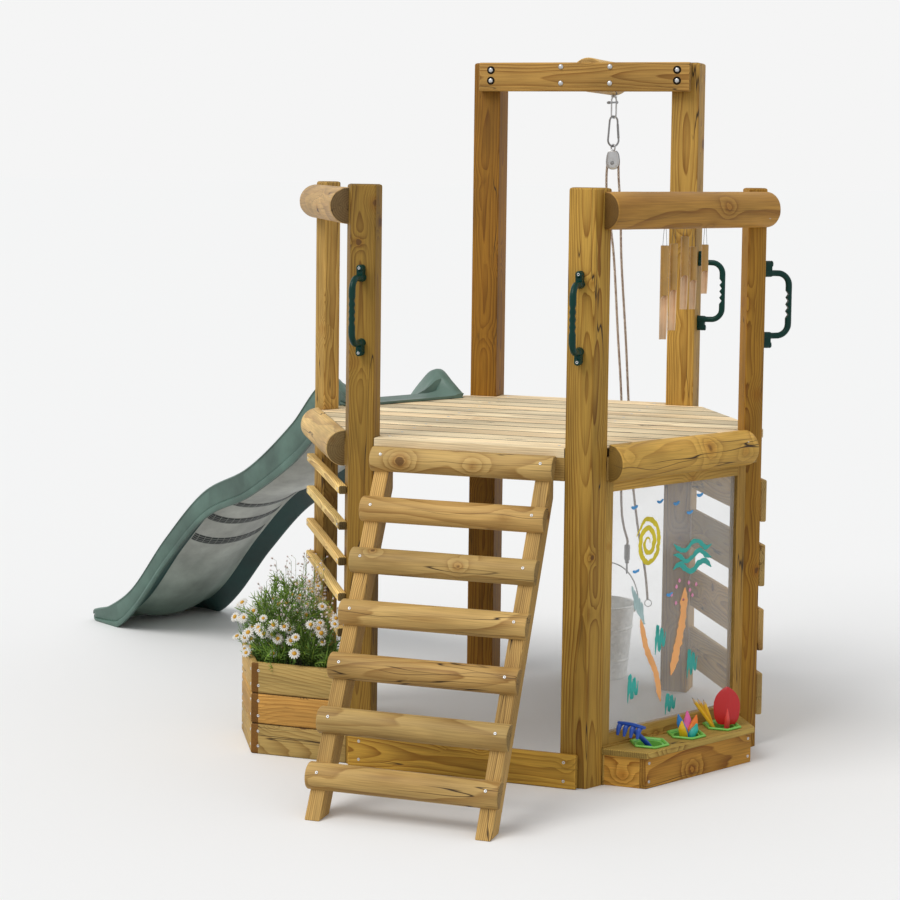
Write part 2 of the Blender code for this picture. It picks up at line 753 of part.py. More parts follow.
def build_ladder(pine):
    slant = STRINGER_DEPTH / math.sin(LADDER_SLOPE)
    wall = FRONT - SEAT_GAP
    back_at_wall = (wall - LADDER_FOOT - slant) * math.tan(LADDER_SLOPE)
    for hand, turn in (("left", -1), ("right", 1)):
        middle = LADDER_X + turn * STRINGER_SPREAD / 2
        x = middle - STRINGER_THICKNESS / 2
        outline = [Vector((x, LADDER_FOOT, 0)), Vector((x, LADDER_FOOT + slant, 0)),
                   Vector((x, wall, back_at_wall)), Vector((x, wall, STRINGER_TOP)),
                   Vector((x, ladder_edge(STRINGER_TOP), STRINGER_TOP))]
        body = extrude_outline(outline, Vector((STRINGER_THICKNESS, 0, 0)))
        chamfer_edges(body, 0.002)
        place("ladder_stringer_" + hand, body, pine)
    up_slope = Vector((0, math.cos(LADDER_SLOPE), math.sin(LADDER_SLOPE)))
    outward = Vector((0, -math.sin(LADDER_SLOPE), math.cos(LADDER_SLOPE)))
    for number in range(RUNG_COUNT):
        height = rung_height(number)
        seat = Vector((LADDER_X - RUNG_LENGTH / 2, ladder_edge(height), height)) + outward * SEAT_GAP
        points = [seat + up_slope * RUNG_RADIUS * math.cos(a) + outward * RUNG_DEPTH * math.sin(a)
                  for a in (math.pi * k / 10 for k in range(11))]
        body = extrude_outline(points, Vector((RUNG_LENGTH, 0, 0)))
        chamfer_edges(body, 0.003, lambda edge: abs(edge.verts[0].co.x - edge.verts[1].co.x) < 1e-6)
        place("ladder_rung_%d" % (number + 1), body, pine, 32)


# Boards of the sides

def build_side_boards(pine):
    kick = box(Vector((LADDER_X, FRONT - SEAT_GAP - KICKBOARD_THICKNESS / 2,
                       GROUND_CLEARANCE + KICKBOARD_HEIGHT / 2)),
               Vector((1, 0, 0)), Vector((0, 1, 0)),
               (KICKBOARD_LENGTH, KICKBOARD_THICKNESS, KICKBOARD_HEIGHT), 0.004)
    place("kickboard_front", kick, pine)
    for number in range(BATTEN_COUNT):
        middle = TOP_BATTEN_HEIGHT - number * BATTEN_SPACING
        place("side_batten_%d" % (number + 1),
              side_board(LEFT_SIDE, BATTEN_START, BATTEN_LENGTH, SEAT_GAP, BATTEN_SIZE,
                         middle - BATTEN_SIZE / 2, middle + BATTEN_SIZE / 2, 0.003), pine)
    for number in range(CLIMB_BOARD_COUNT):
        middle = TOP_CLIMB_BOARD - number * CLIMB_BOARD_SPACING
        place("climbing_board_%d" % (number + 1),
              side_board(CLIMB_SIDE, 0.001, CLIMB_BOARD_LENGTH, SEAT_GAP, CLIMB_BOARD_THICKNESS,
                         middle - CLIMB_BOARD_HEIGHT / 2, middle + CLIMB_BOARD_HEIGHT / 2, 0.003), pine)


# Paint window

def build_window(pine, clear):
    inner = WINDOW_SETBACK - WINDOW_FRAME_DEPTH
    frame = side_board(RIGHT_SIDE, WINDOW_START, WINDOW_LENGTH, inner, WINDOW_FRAME_DEPTH,
                       WINDOW_BOTTOM, WINDOW_TOP)
    opening = side_board(RIGHT_SIDE, WINDOW_START + WINDOW_STILE, WINDOW_LENGTH - 2 * WINDOW_STILE,
                         inner - 0.01, WINDOW_FRAME_DEPTH + 0.02, WINDOW_BOTTOM + WINDOW_RAIL,
                         WINDOW_TOP - WINDOW_RAIL, 0)
    place("window_frame", combine(frame, opening, 'DIFFERENCE'), pine)
    pane = side_board(RIGHT_SIDE, WINDOW_START + WINDOW_STILE + SEAT_GAP,
                      WINDOW_LENGTH - 2 * WINDOW_STILE - 2 * SEAT_GAP,
                      inner + (WINDOW_FRAME_DEPTH - PANE_THICKNESS) / 2, PANE_THICKNESS,
                      WINDOW_BOTTOM + WINDOW_RAIL + SEAT_GAP, WINDOW_TOP - WINDOW_RAIL - SEAT_GAP, 0)
    place("window_pane", pane, clear)


# Pot shelf and cups

def tapered_plan(side, start, long_edge, reach, lean):
    """Plan of a box against a side: long edge at the wall, ends leaning in by an angle."""
    shift = reach / math.tan(lean)
    return [start, start + side.run * long_edge,
            start + side.run * (long_edge - shift) + side.out * reach,
            start + side.run * shift + side.out * reach]


def rod(first, last, radius, sides=6, last_radius=None):
    radii = [radius, radius if last_radius is None else last_radius]
    return tube([first, last], radii, sides)


def cup_point(number, height=0.0):
    middle = SHELF_START + SHELF_LENGTH / 2
    return RIGHT_SIDE.at(middle + (number - (CUP_COUNT - 1) / 2) * CUP_SPACING, CUP_SETOUT, height)


def build_shelf(pine):
    start = RIGHT_SIDE.at(SHELF_START, SEAT_GAP)
    lean = math.radians(60)
    plan = tapered_plan(RIGHT_SIDE, start, SHELF_LENGTH, SHELF_DEPTH, lean)
    inner = tapered_plan(RIGHT_SIDE, start - RIGHT_SIDE.out * 0.01 + RIGHT_SIDE.run * SHELF_WALL * 1.3,
                         SHELF_LENGTH - SHELF_WALL * 2.6, SHELF_DEPTH + 0.01 - SHELF_WALL, lean)
    walls = combine(upright(plan, GROUND_CLEARANCE, SHELF_BOX_HEIGHT + SHELF_TOP_THICKNESS / 2),
                    upright(inner, -0.01, SHELF_BOX_HEIGHT + SHELF_TOP_THICKNESS), 'DIFFERENCE')
    top_plan = tapered_plan(RIGHT_SIDE, start - RIGHT_SIDE.run * SHELF_OVERHANG,
                            SHELF_LENGTH + 2 * SHELF_OVERHANG, SHELF_DEPTH + SHELF_OVERHANG, lean)
    top = upright(top_plan, SHELF_BOX_HEIGHT, SHELF_TOP_HEIGHT)
    chamfer_edges(top, 0.002)
    radius = CUP_MOUTH_RADIUS + 0.0006
    holes = [turned([(0, -0.03), (radius, -0.03), (radius, 0.02), (0, 0.02)], 20,
                    cup_point(number, SHELF_TOP_HEIGHT)) for number in range(CUP_COUNT)]
    top = combine(top, merged(holes), 'DIFFERENCE')
    place("pot_shelf", combine(top, walls), pine)


def cup(number):
    """Tapered cup with a six-sided flange."""
    spot = cup_point(number, SHELF_TOP_HEIGHT + SEAT_GAP)
    floor = CUP_WALL - CUP_DEPTH
    profile = [(CUP_MOUTH_RADIUS - CUP_WALL, CUP_FLANGE_THICKNESS),
               (CUP_FLANGE_RADIUS, CUP_FLANGE_THICKNESS), (CUP_FLANGE_RADIUS, 0),
               (CUP_MOUTH_RADIUS, 0), (CUP_BASE_RADIUS, -CUP_DEPTH), (0, -CUP_DEPTH),
               (0, floor), (CUP_BASE_RADIUS - CUP_WALL, floor)]
    body = turned(profile, 18, spot)
    for vertex in body.verts:
        reach = Vector((vertex.co.x - spot.x, vertex.co.y - spot.y, 0))
        if reach.length > CUP_MOUTH_RADIUS + 0.001:
            turn = math.degrees(math.atan2(reach.y, reach.x)) % 60 - 30
            scale = math.cos(math.radians(30)) / math.cos(math.radians(turn)) * 1.10
            vertex.co.x = spot.x + reach.x * scale
            vertex.co.y = spot.y + reach.y * scale
    return body


def build_cups(green):
    """The three cups, each with the small tools that stand in it."""
    floor = SHELF_TOP_HEIGHT + SEAT_GAP - CUP_DEPTH + CUP_WALL * 0.5
    run, out, up = RIGHT_SIDE.run, RIGHT_SIDE.out, Vector((0, 0, 1))
    foot = cup_point(0, floor) + run * 0.010
    lean = (up - run * 0.10).normalized()
    rake = [cup(0), rod(foot, foot + lean * 0.158, 0.0055, 8),
            box(foot + lean * 0.160, run, out, (0.060, 0.008, 0.012), 0.0015)]
    for k in range(4):
        spread = run * (k - 1.5) * 0.0165
        rake.append(box(foot + lean * 0.181 + spread, up, out, (0.042, 0.005, 0.006), 0.0010))
    place("paint_cup_1", united(rake), green, 40)
    brushes = [cup(1)]
    for along, across, length in ((-0.013, 0.009, 0.125), (0.012, -0.009, 0.110),
                                  (0.010, 0.012, 0.118), (-0.009, -0.012, 0.100)):
        foot = cup_point(1, floor) + run * along + out * across
        path = [foot, foot + up * (length - 0.001), foot + up * length, foot + up * (length + 0.007),
                foot + up * (length + 0.019), foot + up * (length + 0.024)]
        brushes.append(tube(path, [0.0045, 0.0045, 0.0075, 0.0090, 0.0085, 0.0050], 7))
    place("paint_cup_2", united(brushes), green, 40)
    tools = [cup(2)]
    for along in (-0.013, -0.003, 0.007):
        foot = cup_point(2, floor) + run * along - out * 0.009
        tools.append(tube([foot, foot + up * 0.122, foot + up * 0.136], [0.0036, 0.0036, 0.0006], 6))
    foot = cup_point(2, floor) + out * 0.010 + run * 0.006
    tools.append(rod(foot, foot + up * 0.090, 0.0055, 8))
    tools.append(box(foot + up * 0.114, up, run, (0.062, 0.040, 0.006), 0.002))
    place("paint_cup_3", united(tools), green, 40)


# Planter

def build_planter(pine, leaf_green):
    plan = tapered_plan(LEFT_SIDE, LEFT_SIDE.at(0, SEAT_GAP), PLANTER_BACK, PLANTER_REACH,
                        math.radians(60))
    middle = sum(plan, Vector((0, 0, 0))) / 4
    profile = [(0.003, GROUND_CLEARANCE), (0, GROUND_CLEARANCE + 0.003)]
    tier = PLANTER_TIER_HEIGHT + PLANTER_JOINT
    for number in range(1, PLANTER_TIERS):
        joint = GROUND_CLEARANCE + number * tier
        profile += [(0, joint - 0.004), (0.004, joint - 0.0008), (0.004, joint + 0.0008),
                    (0, joint + 0.004)]
    top = GROUND_CLEARANCE + PLANTER_TIERS * tier
    profile += [(0, top - 0.003), (0.003, top), (PLANTER_WALL - 0.002, top), (PLANTER_WALL, top - 0.002),
                (PLANTER_WALL, GROUND_CLEARANCE + PLANTER_FLOOR)]
    place("planter_box", walled_box(plan, profile), pine)
    fill = inset(plan, PLANTER_WALL + SEAT_GAP)
    soil = upright(fill, GROUND_CLEARANCE + PLANTER_FLOOR + SEAT_GAP, SOIL_LEVEL)
    plants = []
    for k in range(PLANT_COUNT):
        turn = k * 2.399963
        spread = math.sqrt((k + 0.5) / PLANT_COUNT)
        spot = middle + (LEFT_SIDE.run * math.cos(turn) * 0.150
                         + LEFT_SIDE.out * math.sin(turn) * 0.060) * spread
        foot = spot + Vector((0, 0, SOIL_LEVEL - 0.006))
        outward = (spot - middle) * 0.6
        lean = (Vector((outward.x, outward.y, 1))).normalized()
        if k % 3 == 1:
            height = PLANT_HEIGHT * (0.66 + 0.34 * ((k * 7) % 5) / 4)
            path = [foot, foot + lean * (height - 0.010), foot + lean * (height - 0.006),
                    foot + lean * (height - 0.002), foot + lean * height]
            plants.append(tube(path, [0.0026, 0.0018, 0.0200, 0.0190, 0.0060], 8))
        else:
            height = PLANT_HEIGHT * (0.44 + 0.28 * ((k * 5) % 4) / 3)
            across = Vector((math.cos(turn), math.sin(turn), 0))
            side = Vector((-across.y, across.x, 0))
            path = [foot + lean * height * share + across * (0.03 * share * share)
                    for share in (0, 0.45, 0.8, 1)]
            widths = (0.005, 0.014, 0.009, 0.001)

            def leaf_ring(index, path=path, widths=widths, across=across, side=side):
                return [path[index] + side * widths[index], path[index] + across * 0.0018,
                        path[index] - side * widths[index], path[index] - across * 0.0018]

            plants.append(sweep(path, leaf_ring))
    place("planter_planting", united([soil] + plants), leaf_green)


# Slide

def slide_point(run, lateral, height):
    """Point on the slide: distance out from the tower face, sideways, and up."""
    return (SLIDE_SIDE.out * (APOTHEM + run) + SLIDE_SIDE.run * (SLIDE_SHIFT + lateral)
            + Vector((0, 0, height)))


def build_slide(slide_green):
    first, last = SLIDE_RIM_LINE[0][0], SLIDE_RIM_LINE[-1][0]
    runs = [first, -0.030, SLIDE_CLEAR - 0.0001, SLIDE_CLEAR + 0.004]
    step = (last - 0.020) / (SLIDE_STATIONS - 5)
    runs += [0.020 + step * k for k in range(SLIDE_STATIONS - 4)]
    rims = smooth_line(SLIDE_RIM_LINE, runs)
    walls = smooth_line(SLIDE_WALL_LINE, runs)
    half = SLIDE_WIDTH / 2
    body = bmesh.new()
    rings = []
    for run, rim, wall in zip(runs, rims, walls):
        bottom = max(rim - wall, SLIDE_GROUND)
        if run < SLIDE_CLEAR:
            bottom = DECK_TOP + SEAT_GAP
        rim = max(rim, bottom + 2.2 * SLIDE_SKIN)
        floor = bottom + min(SLIDE_SKIRT, max((rim - bottom) * 0.3, SLIDE_SKIN + 0.0015))
        under = floor - SLIDE_SKIN
        for place_along in SLIDE_RIB_PLACES:
            share = abs(run - place_along) / SLIDE_RIB_WIDTH
            if share < 1:
                under -= SLIDE_RIB_DROP * (1 - share * share)
        top_in = half - SLIDE_RIM_WIDTH
        foot_in = half - SLIDE_RIM_WIDTH - (rim - floor) * 0.16
        lip = min(0.010, (rim - bottom) * 0.3)
        right = [(half - 0.010, bottom), (half - 0.006, bottom + 0.35 * (rim - bottom)),
                 (half - 0.004, rim - lip), (half, rim - lip * 0.55), (half - 0.004, rim - lip * 0.1),
                 (half - SLIDE_RIM_WIDTH * 0.5, rim), (top_in + 0.003, rim - lip * 0.3),
                 (top_in - 0.002, rim - lip), (foot_in, floor + lip), (foot_in - lip, floor + lip * 0.2)]
        under_right = [(half - 0.010 - SLIDE_SKIN, bottom), (half - 0.014 - SLIDE_SKIN, under)]
        section = right + [(-x, z) for x, z in reversed(right)]
        section += [(-x, z) for x, z in under_right] + list(reversed(under_right))
        rings.append([body.verts.new(slide_point(run, x, z)) for x, z in section])
    count = len(rings[0])
    for near, far in zip(rings, rings[1:]):
        for i in range(count):
            j = (i + 1) % count
            body.faces.new((near[i], near[j], far[j], far[i]))
    body.faces.new(rings[0])
    body.faces.new(list(reversed(rings[-1])))
    bmesh.ops.triangulate(body, faces=[face for face in body.faces if len(face.verts) > 4])
    place("slide", body, slide_green, 40)


# Grab handles

def build_handle(name, foot, out, run, green):
    """Moulded handle: two flared feet on a face, and a grip with finger waves."""
    half = HANDLE_MOUNT_SPREAD / 2
    arm = HANDLE_ARM_SPREAD / 2
    reach = HANDLE_REACH
    shape = [(SEAT_GAP, half, 0.0175), (0.007, half, 0.0175), (0.016, half - 0.004, 0.0140),
             (0.034, half - 0.013, 0.0100), (reach - 0.020, arm, 0.0092),
             (reach - 0.006, arm - 0.010, 0.0092), (reach, arm - 0.026, HANDLE_BAR_RADIUS)]
    waves = HANDLE_FINGERS * 4
    grip = arm - 0.030
    middle = [(reach, grip - 2 * grip * k / waves,
               HANDLE_BAR_RADIUS - HANDLE_FINGER_DEPTH * (0.5 - 0.5 * math.cos(2 * math.pi * k / 4)))
              for k in range(waves + 1)]
    shape = shape + middle + [(a, -b, r) for a, b, r in reversed(shape)]
    path = [foot + out * a + Vector((0, 0, b)) for a, b, r in shape]

    def ring(index):
        before, after = path[max(index - 1, 0)], path[min(index + 1, len(path) - 1)]
        tangent = (after - before).normalized()
        if index in (0, 1):
            tangent = out
        if index in (len(path) - 1, len(path) - 2):
            tangent = -out
        across = tangent.cross(run).normalized()
        radius = shape[index][2]
        back = HANDLE_BAR_RADIUS if HANDLE_BAR_RADIUS > radius and 6 < index < len(path) - 7 else radius
        points = []
        for k in range(8):
            a = 2 * math.pi * k / 8
            reach_out = across * math.sin(a)
            grow = back if reach_out.dot(out) > 0 else radius
            points.append(path[index] + run * math.cos(a) * back + reach_out * grow)
        return points

    place(name, sweep(path, ring), green, 50)


def build_handles(green):
    left_x = -TOWER_SIDE / 2 + POST_FACE_WIDTH / 2
    for name, x in (("grab_handle_front_left", left_x), ("grab_handle_front_right", -left_x)):
        build_handle(name, Vector((x, FRONT, HANDLE_HEIGHT)), Vector((0, -1, 0)), Vector((1, 0, 0)), green)
    outer = (side_post_outline(1)[4] + side_post_outline(1)[0]) / 2
    build_handle("grab_handle_right", outer + Vector((0, 0, HANDLE_HEIGHT + HANDLE_STEP)), CLIMB_SIDE.out,
                 CLIMB_SIDE.run, green)
    build_handle("grab_handle_back_right",
                 Vector((BACK_POST_X + BACK_POST_WIDTH / 2, BACK_POST_Y, HANDLE_HEIGHT + HANDLE_STEP)),
                 Vector((1, 0, 0)), Vector((0, 1, 0)), green)


# Bucket hoist

def hang_point(height):
    return Vector((HANG_X, HANG_Y, height))


def ring_path(centre, first, second, radius, count=16, half_length=0.0):
    """Closed loop in the plane of two directions; half_length stretches it along the second."""
    points = []
    for k in range(count):
        a = 2 * math.pi * (k + 0.5) / count
        lift = half_length if math.sin(a) > 0 else -half_length
        points.append(centre + first * radius * math.cos(a) + second * (radius * math.sin(a) + lift))
    return points


def build_arm(pine):
    plank = box(Vector((0, CROSSBAR_FACE - CROSSBAR_THICKNESS / 2, CROSSBAR_MIDDLE)),
                Vector((1, 0, 0)), Vector((0, 1, 0)),
                (CROSSBAR_LENGTH, CROSSBAR_THICKNESS, CROSSBAR_HEIGHT), 0.003)
    place("crossbar", plank, pine)
    radius = ARM_DIAMETER / 2
    start = CROSSBAR_FACE + SEAT_GAP
    arm = turned([(0, 0), (radius, 0), (radius, ARM_LENGTH - 0.006), (radius - 0.006, ARM_LENGTH),
                  (0, ARM_LENGTH)], 28, Vector((ARM_X, start, ARM_HEIGHT)), Vector((0, 1, 0)))
    place("pulley_arm", arm, pine, 40)


def build_pulley(steel):
    """Eye bolt under the arm, the carabiner in it, then the pulley block and its wheel."""
    x, y, up = Vector((1, 0, 0)), Vector((0, 1, 0)), Vector((0, 0, 1))
    swing = Vector((math.cos(CARABINER_TURN), math.sin(CARABINER_TURN), 0))
    across = Vector((-swing.y, swing.x, 0))
    half_drop = (EYE_LENGTH - 2 * EYE_RADIUS) / 2
    seat = ARM_HEIGHT - ARM_DIAMETER / 2 - SEAT_GAP
    eye_top = seat - EYE_WASHER
    eye_middle = eye_top - EYE_RADIUS - half_drop
    loop = ring_path(hang_point(eye_middle), across, up, EYE_RADIUS, 14, half_drop)
    eye = [tube(loop, LINK_WIRE, 8, True),
           rod(hang_point(eye_top - LINK_WIRE), hang_point(seat - 0.0004), EYE_WASHER_RADIUS, 12)]
    place("eye_bolt", united(eye), steel, 50)
    top = eye_middle - half_drop - EYE_RADIUS + LINK_WIRE + CARABINER_WIRE + SEAT_GAP
    low = top - CARABINER_LENGTH
    wide, narrow = CARABINER_WIDE, CARABINER_NARROW
    pear = [hang_point(top - wide) + swing * wide * math.cos(a) + up * wide * math.sin(a)
            for a in (math.pi * (k + 0.5) / 9 for k in range(9))]
    pear += [hang_point(low + narrow) + swing * narrow * math.cos(a) + up * narrow * math.sin(a)
             for a in (math.pi * (1 + (k + 0.5) / 7) for k in range(7))]
    place("carabiner", tube(pear, CARABINER_WIRE, 8, True), steel, 50)
    ring_top = low + CARABINER_WIRE + LINK_WIRE + SEAT_GAP
    ring_middle = ring_top - BLOCK_EYE_RADIUS
    block = [tube(ring_path(hang_point(ring_middle), across, up, BLOCK_EYE_RADIUS, 12), LINK_WIRE, 6, True)]
    head_top = ring_middle - BLOCK_EYE_RADIUS
    inside = SHEAVE_WIDTH / 2 + SHEAVE_CLEARANCE
    axle = head_top - BLOCK_DROP
    half = CHEEK_WIDTH / 2
    block.append(box(hang_point(head_top - 0.006), x, y,
                     (0.022, 2 * inside + CHEEK_THICKNESS, 0.012), 0.001))
    for turn in (-1, 1):
        face = HANG_Y + turn * inside
        outline = [Vector((HANG_X + half * math.cos(a), face, axle + half * math.sin(a)))
                   for a in (math.pi * (1 + k / 10) for k in range(11))]
        outline += [Vector((HANG_X + half * 0.94, face, axle + BLOCK_DROP * 0.62)),
                    Vector((HANG_X + half * 0.6, face, head_top + 0.001)),
                    Vector((HANG_X - half * 0.6, face, head_top + 0.001)),
                    Vector((HANG_X - half * 0.94, face, axle + BLOCK_DROP * 0.62))]
        block.append(extrude_outline(outline, Vector((0, turn * CHEEK_THICKNESS, 0))))
        rivet = hang_point(axle) + y * turn * (inside + CHEEK_THICKNESS * 0.6)
        block.append(turned([(0, 0), (0.0065, 0), (0.0055, 0.0030), (0, 0.0036)], 10, rivet, y * turn))
    pin = inside + CHEEK_THICKNESS * 0.5
    block.append(rod(hang_point(axle) - y * pin, hang_point(axle) + y * pin, AXLE_RADIUS, 12))
    place("pulley_block", united(block), steel, 50)
    w = SHEAVE_WIDTH / 2
    bore = AXLE_RADIUS + AXLE_CLEARANCE
    bed = ROPE_DIAMETER / 2 + SEAT_GAP + ROPE_BED_EASE
    flange = [(SHEAVE_RADIUS + bed * 0.45, w), (SHEAVE_RADIUS + bed * 0.40, w - 0.0006),
              (SHEAVE_RADIUS, min(bed, w - 0.0006)), (SHEAVE_RADIUS - bed * 0.6, bed * 0.8),
              (SHEAVE_RADIUS - bed * 0.92, bed * 0.4)]
    profile = [(bore, -w)] + [(r, -a) for r, a in flange] + [(r, a) for r, a in reversed(flange)]
    wheel = turned(profile + [(bore, w)], 24, Vector((0, 0, 0)), y)
    thing = place("pulley_wheel", wheel, steel, 40)
    thing.location = hang_point(axle)
    return axle


def rounded_route(points, spacing):
    """Points evenly spaced along a smooth curve through a few chosen points."""
    dense = []
    count = len(points)
    for i in range(count - 1):
        p0, p1 = points[max(i - 1, 0)], points[i]
        p2, p3 = points[i + 1], points[min(i + 2, count - 1)]
        for k in range(24):
            t = k / 24
            dense.append(0.5 * ((2 * p1) + (p2 - p0) * t + (2 * p0 - 5 * p1 + 4 * p2 - p3) * t * t
                                + (3 * p1 - p0 - 3 * p2 + p3) * t ** 3))
    dense.append(points[-1])
    total = sum((b - a).length for a, b in zip(dense, dense[1:]))
    number = max(int(total / spacing), 2)
    wanted = [total * k / number for k in range(number + 1)]
    route, run, index = [], 0.0, 0
    for goal in wanted:
        while index < len(dense) - 2 and run + (dense[index + 1] - dense[index]).length < goal:
            run += (dense[index + 1] - dense[index]).length
            index += 1
        step = (dense[index + 1] - dense[index]).length
        share = min(max((goal - run) / step, 0), 1) if step else 0
        route.append(dense[index].lerp(dense[index + 1], share))
    return route


def rope(name, bend, points, last, finish):
    """Rope that starts with the points of its bend over the wheel and then runs smoothly on."""
    curve = bpy.data.curves.new(name, 'CURVE')
    curve.dimensions = '3D'
    curve.bevel_depth = ROPE_DIAMETER / 2
    curve.bevel_resolution = 2
    curve.use_fill_caps = True
    route = bend + rounded_route([bend[-1]] + points, ROPE_DIAMETER * 2.6)[1:] + last
    spline = curve.splines.new('POLY')
    spline.points.add(len(route) - 1)
    for slot, point in zip(spline.points, route):
        slot.co = (*point, 1)
    thing = bpy.data.objects.new(name, curve)
    bpy.context.scene.collection.objects.link(thing)
    curve.materials.append(finish)
    return thing


def build_ropes(axle, hook_top, tan):
    centre = hang_point(axle)
    radius = SHEAVE_RADIUS

    def over(turn_degrees):
        a = math.radians(turn_degrees)
        return centre + Vector((radius * math.cos(a), 0, radius * math.sin(a)))

    turns = [90 + 90 * k / ROPE_BEND_STEPS for k in range(ROPE_BEND_STEPS + 1)]
    half_gap = Vector((SEAT_GAP / 2, 0, 0))
    level = Vector((ROPE_DIAMETER * 0.38, 0, 0))
    bend = [over(90) - half_gap, over(90) - level] + [over(turn) for turn in turns[1:]]
    up = Vector((0, 0, 1))
    line = [Vector(point) for point in BUCKET_ROPE_LINE] + [hook_top + up * 2 * ROPE_DIAMETER]
    rope("rope_bucket_side", bend, line, [hook_top + up * SEAT_GAP], tan)
    bend = [over(90) + half_gap, over(90) + level] + [over(180 - turn) for turn in turns[1:]]
    rope("rope_hand_side", bend, [Vector(point) for point in HAND_ROPE_LINE], [], tan)


def build_bucket(zinc, steel):
    centre = Vector((*BUCKET_CENTRE, 0))
    slope = (BUCKET_TOP_RADIUS - BUCKET_BASE_RADIUS) / BUCKET_HEIGHT

    def outer(height):
        return BUCKET_BASE_RADIUS + slope * height

    wall = BUCKET_WALL
    floor = BUCKET_FOOT + wall
    top = BUCKET_HEIGHT
    rim = BUCKET_RIM_RADIUS
    profile = [(0, BUCKET_FOOT), (outer(0) - 0.004, BUCKET_FOOT), (outer(0) - 0.003, 0), (outer(0), 0)]
    for bead in BUCKET_BEADS:
        profile += [(outer(bead - 0.006), bead - 0.006), (outer(bead) + 0.0022, bead),
                    (outer(bead + 0.006), bead + 0.006)]
    profile += [(outer(top - 2 * rim), top - 2 * rim), (outer(top) + 2 * rim - wall, top - 1.7 * rim),
                (outer(top) + 2 * rim - wall + 0.0008, top - rim),
                (outer(top) + rim * 1.6 - wall, top - 0.2 * rim), (outer(top), top),
                (outer(top) - wall, top - 0.3 * rim), (outer(floor) - wall, floor), (0, floor)]
    bucket = [turned(profile, 32)]
    hinge = Vector((math.cos(BUCKET_TURN), math.sin(BUCKET_TURN), 0))
    across = Vector((-hinge.y, hinge.x, 0))
    ear_face = outer(EAR_HEIGHT) - wall * 0.4
    for turn in (-1, 1):
        middle = hinge * turn * (ear_face + EAR_THICKNESS / 2) + Vector((0, 0, EAR_HEIGHT))
        lug = box(middle, hinge, across, (EAR_THICKNESS, EAR_SIZE, EAR_SIZE), 0.002)
        bore = rod(hinge * turn * (ear_face + 0.0030) + Vector((0, 0, EAR_HEIGHT)),
                   hinge * turn * (ear_face + 0.0300) + Vector((0, 0, EAR_HEIGHT)),
                   BAIL_WIRE + BAIL_CLEARANCE, 12)
        bucket.append(combine(lug, bore, 'DIFFERENCE'))
    thing = place("bucket", united(bucket), zinc, 40)
    pivot = centre + Vector((0, 0, EAR_HEIGHT))
    for vertex in thing.data.vertices:
        vertex.co.z -= EAR_HEIGHT
    thing.location = pivot
    start = ear_face + 0.0038
    arm = ear_face + EAR_THICKNESS + 0.0055
    path = [hinge * -start, hinge * -(arm - 0.002)]
    for k in range(25):
        a = math.pi - math.pi * k / 24
        flat = math.copysign(abs(math.cos(a)) ** 0.82, math.cos(a)) if abs(math.cos(a)) > 1e-6 else 0
        path.append(hinge * arm * flat + Vector((0, 0, 0.006 + (BAIL_RISE - 0.006) * math.sin(a) ** 0.95)))
    path += [hinge * (arm - 0.002), hinge * start]
    bail = tube([pivot + point for point in path], BAIL_WIRE, 6)
    thing = place("bucket_handle", bail, steel, 60)
    moved_to(thing, pivot)
    spot_index = 2 + HOOK_STATION
    wire = pivot + path[spot_index]
    slope_along = (path[spot_index + 1] - path[spot_index - 1]).normalized()
    steep = 1 / max(math.sqrt(1 - slope_along.z ** 2), 0.3)
    low = wire - Vector((0, 0, (BAIL_WIRE + HOOK_WIRE) * steep * 1.06 + SEAT_GAP))
    up = Vector((0, 0, 1))
    narrow = HOOK_HALF_WIDTH
    middle = low + up * (narrow + HOOK_STRAIGHT / 2)
    hook = [tube(ring_path(middle, across, up, narrow, 16, HOOK_STRAIGHT / 2), HOOK_WIRE, 6, True)]
    neck_low = middle + up * (HOOK_STRAIGHT / 2 + narrow)
    profile = [(0, 0), (0.0055, 0), (0.0075, 0.004), (0.0060, 0.010), (FERRULE_RADIUS * 0.8, 0.011),
               (FERRULE_RADIUS, 0.014), (FERRULE_RADIUS, 0.008 + FERRULE_LENGTH),
               (FERRULE_RADIUS * 0.8, 0.011 + FERRULE_LENGTH), (0, 0.011 + FERRULE_LENGTH)]
    hook.append(turned(profile, 12, neck_low))
    place("snap_hook", united(hook), steel, 50)
    return neck_low + up * (0.011 + FERRULE_LENGTH)


# Wind chimes

def build_chimes(bamboo):
    for number, (along, radius, length, drop) in enumerate(CHIME_TUBES):
        arc = CHIME_SETOUT - (SEAT_GAP + LOG_DEPTH - LOG_RADIUS)
        ceiling = HANDRAIL_HEIGHT - math.sqrt(LOG_RADIUS ** 2 - arc ** 2) - CHIME_SEAT
        pivot = RIGHT_SIDE.at(along, CHIME_SETOUT, ceiling)
        bodies = [rod(Vector((0, 0, -drop - 0.006)), Vector((0, 0, 0)), CHIME_STRING_RADIUS, 5)]
        top = -drop
        bore = radius * CHIME_BORE
        tube_body = turned([(0, top - length * 0.30), (0, top), (radius * 0.92, top), (radius, top - 0.002),
                            (radius, top - length), (bore, top - length), (bore, top - length * 0.30)],
                           10)
        for vertex in tube_body.verts:
            if vertex.co.z < top - length + 1e-5:
                facing = Vector((vertex.co.x, vertex.co.y, 0)).dot(heading(300)) / radius
                vertex.co.z += length * CHIME_CUT_SHARE * (0.5 + 0.5 * facing)
        bodies.append(tube_body)
        thing = place("chime_%d" % (number + 1), united(bodies), bamboo, 45)
        thing.location = pivot


# The whole

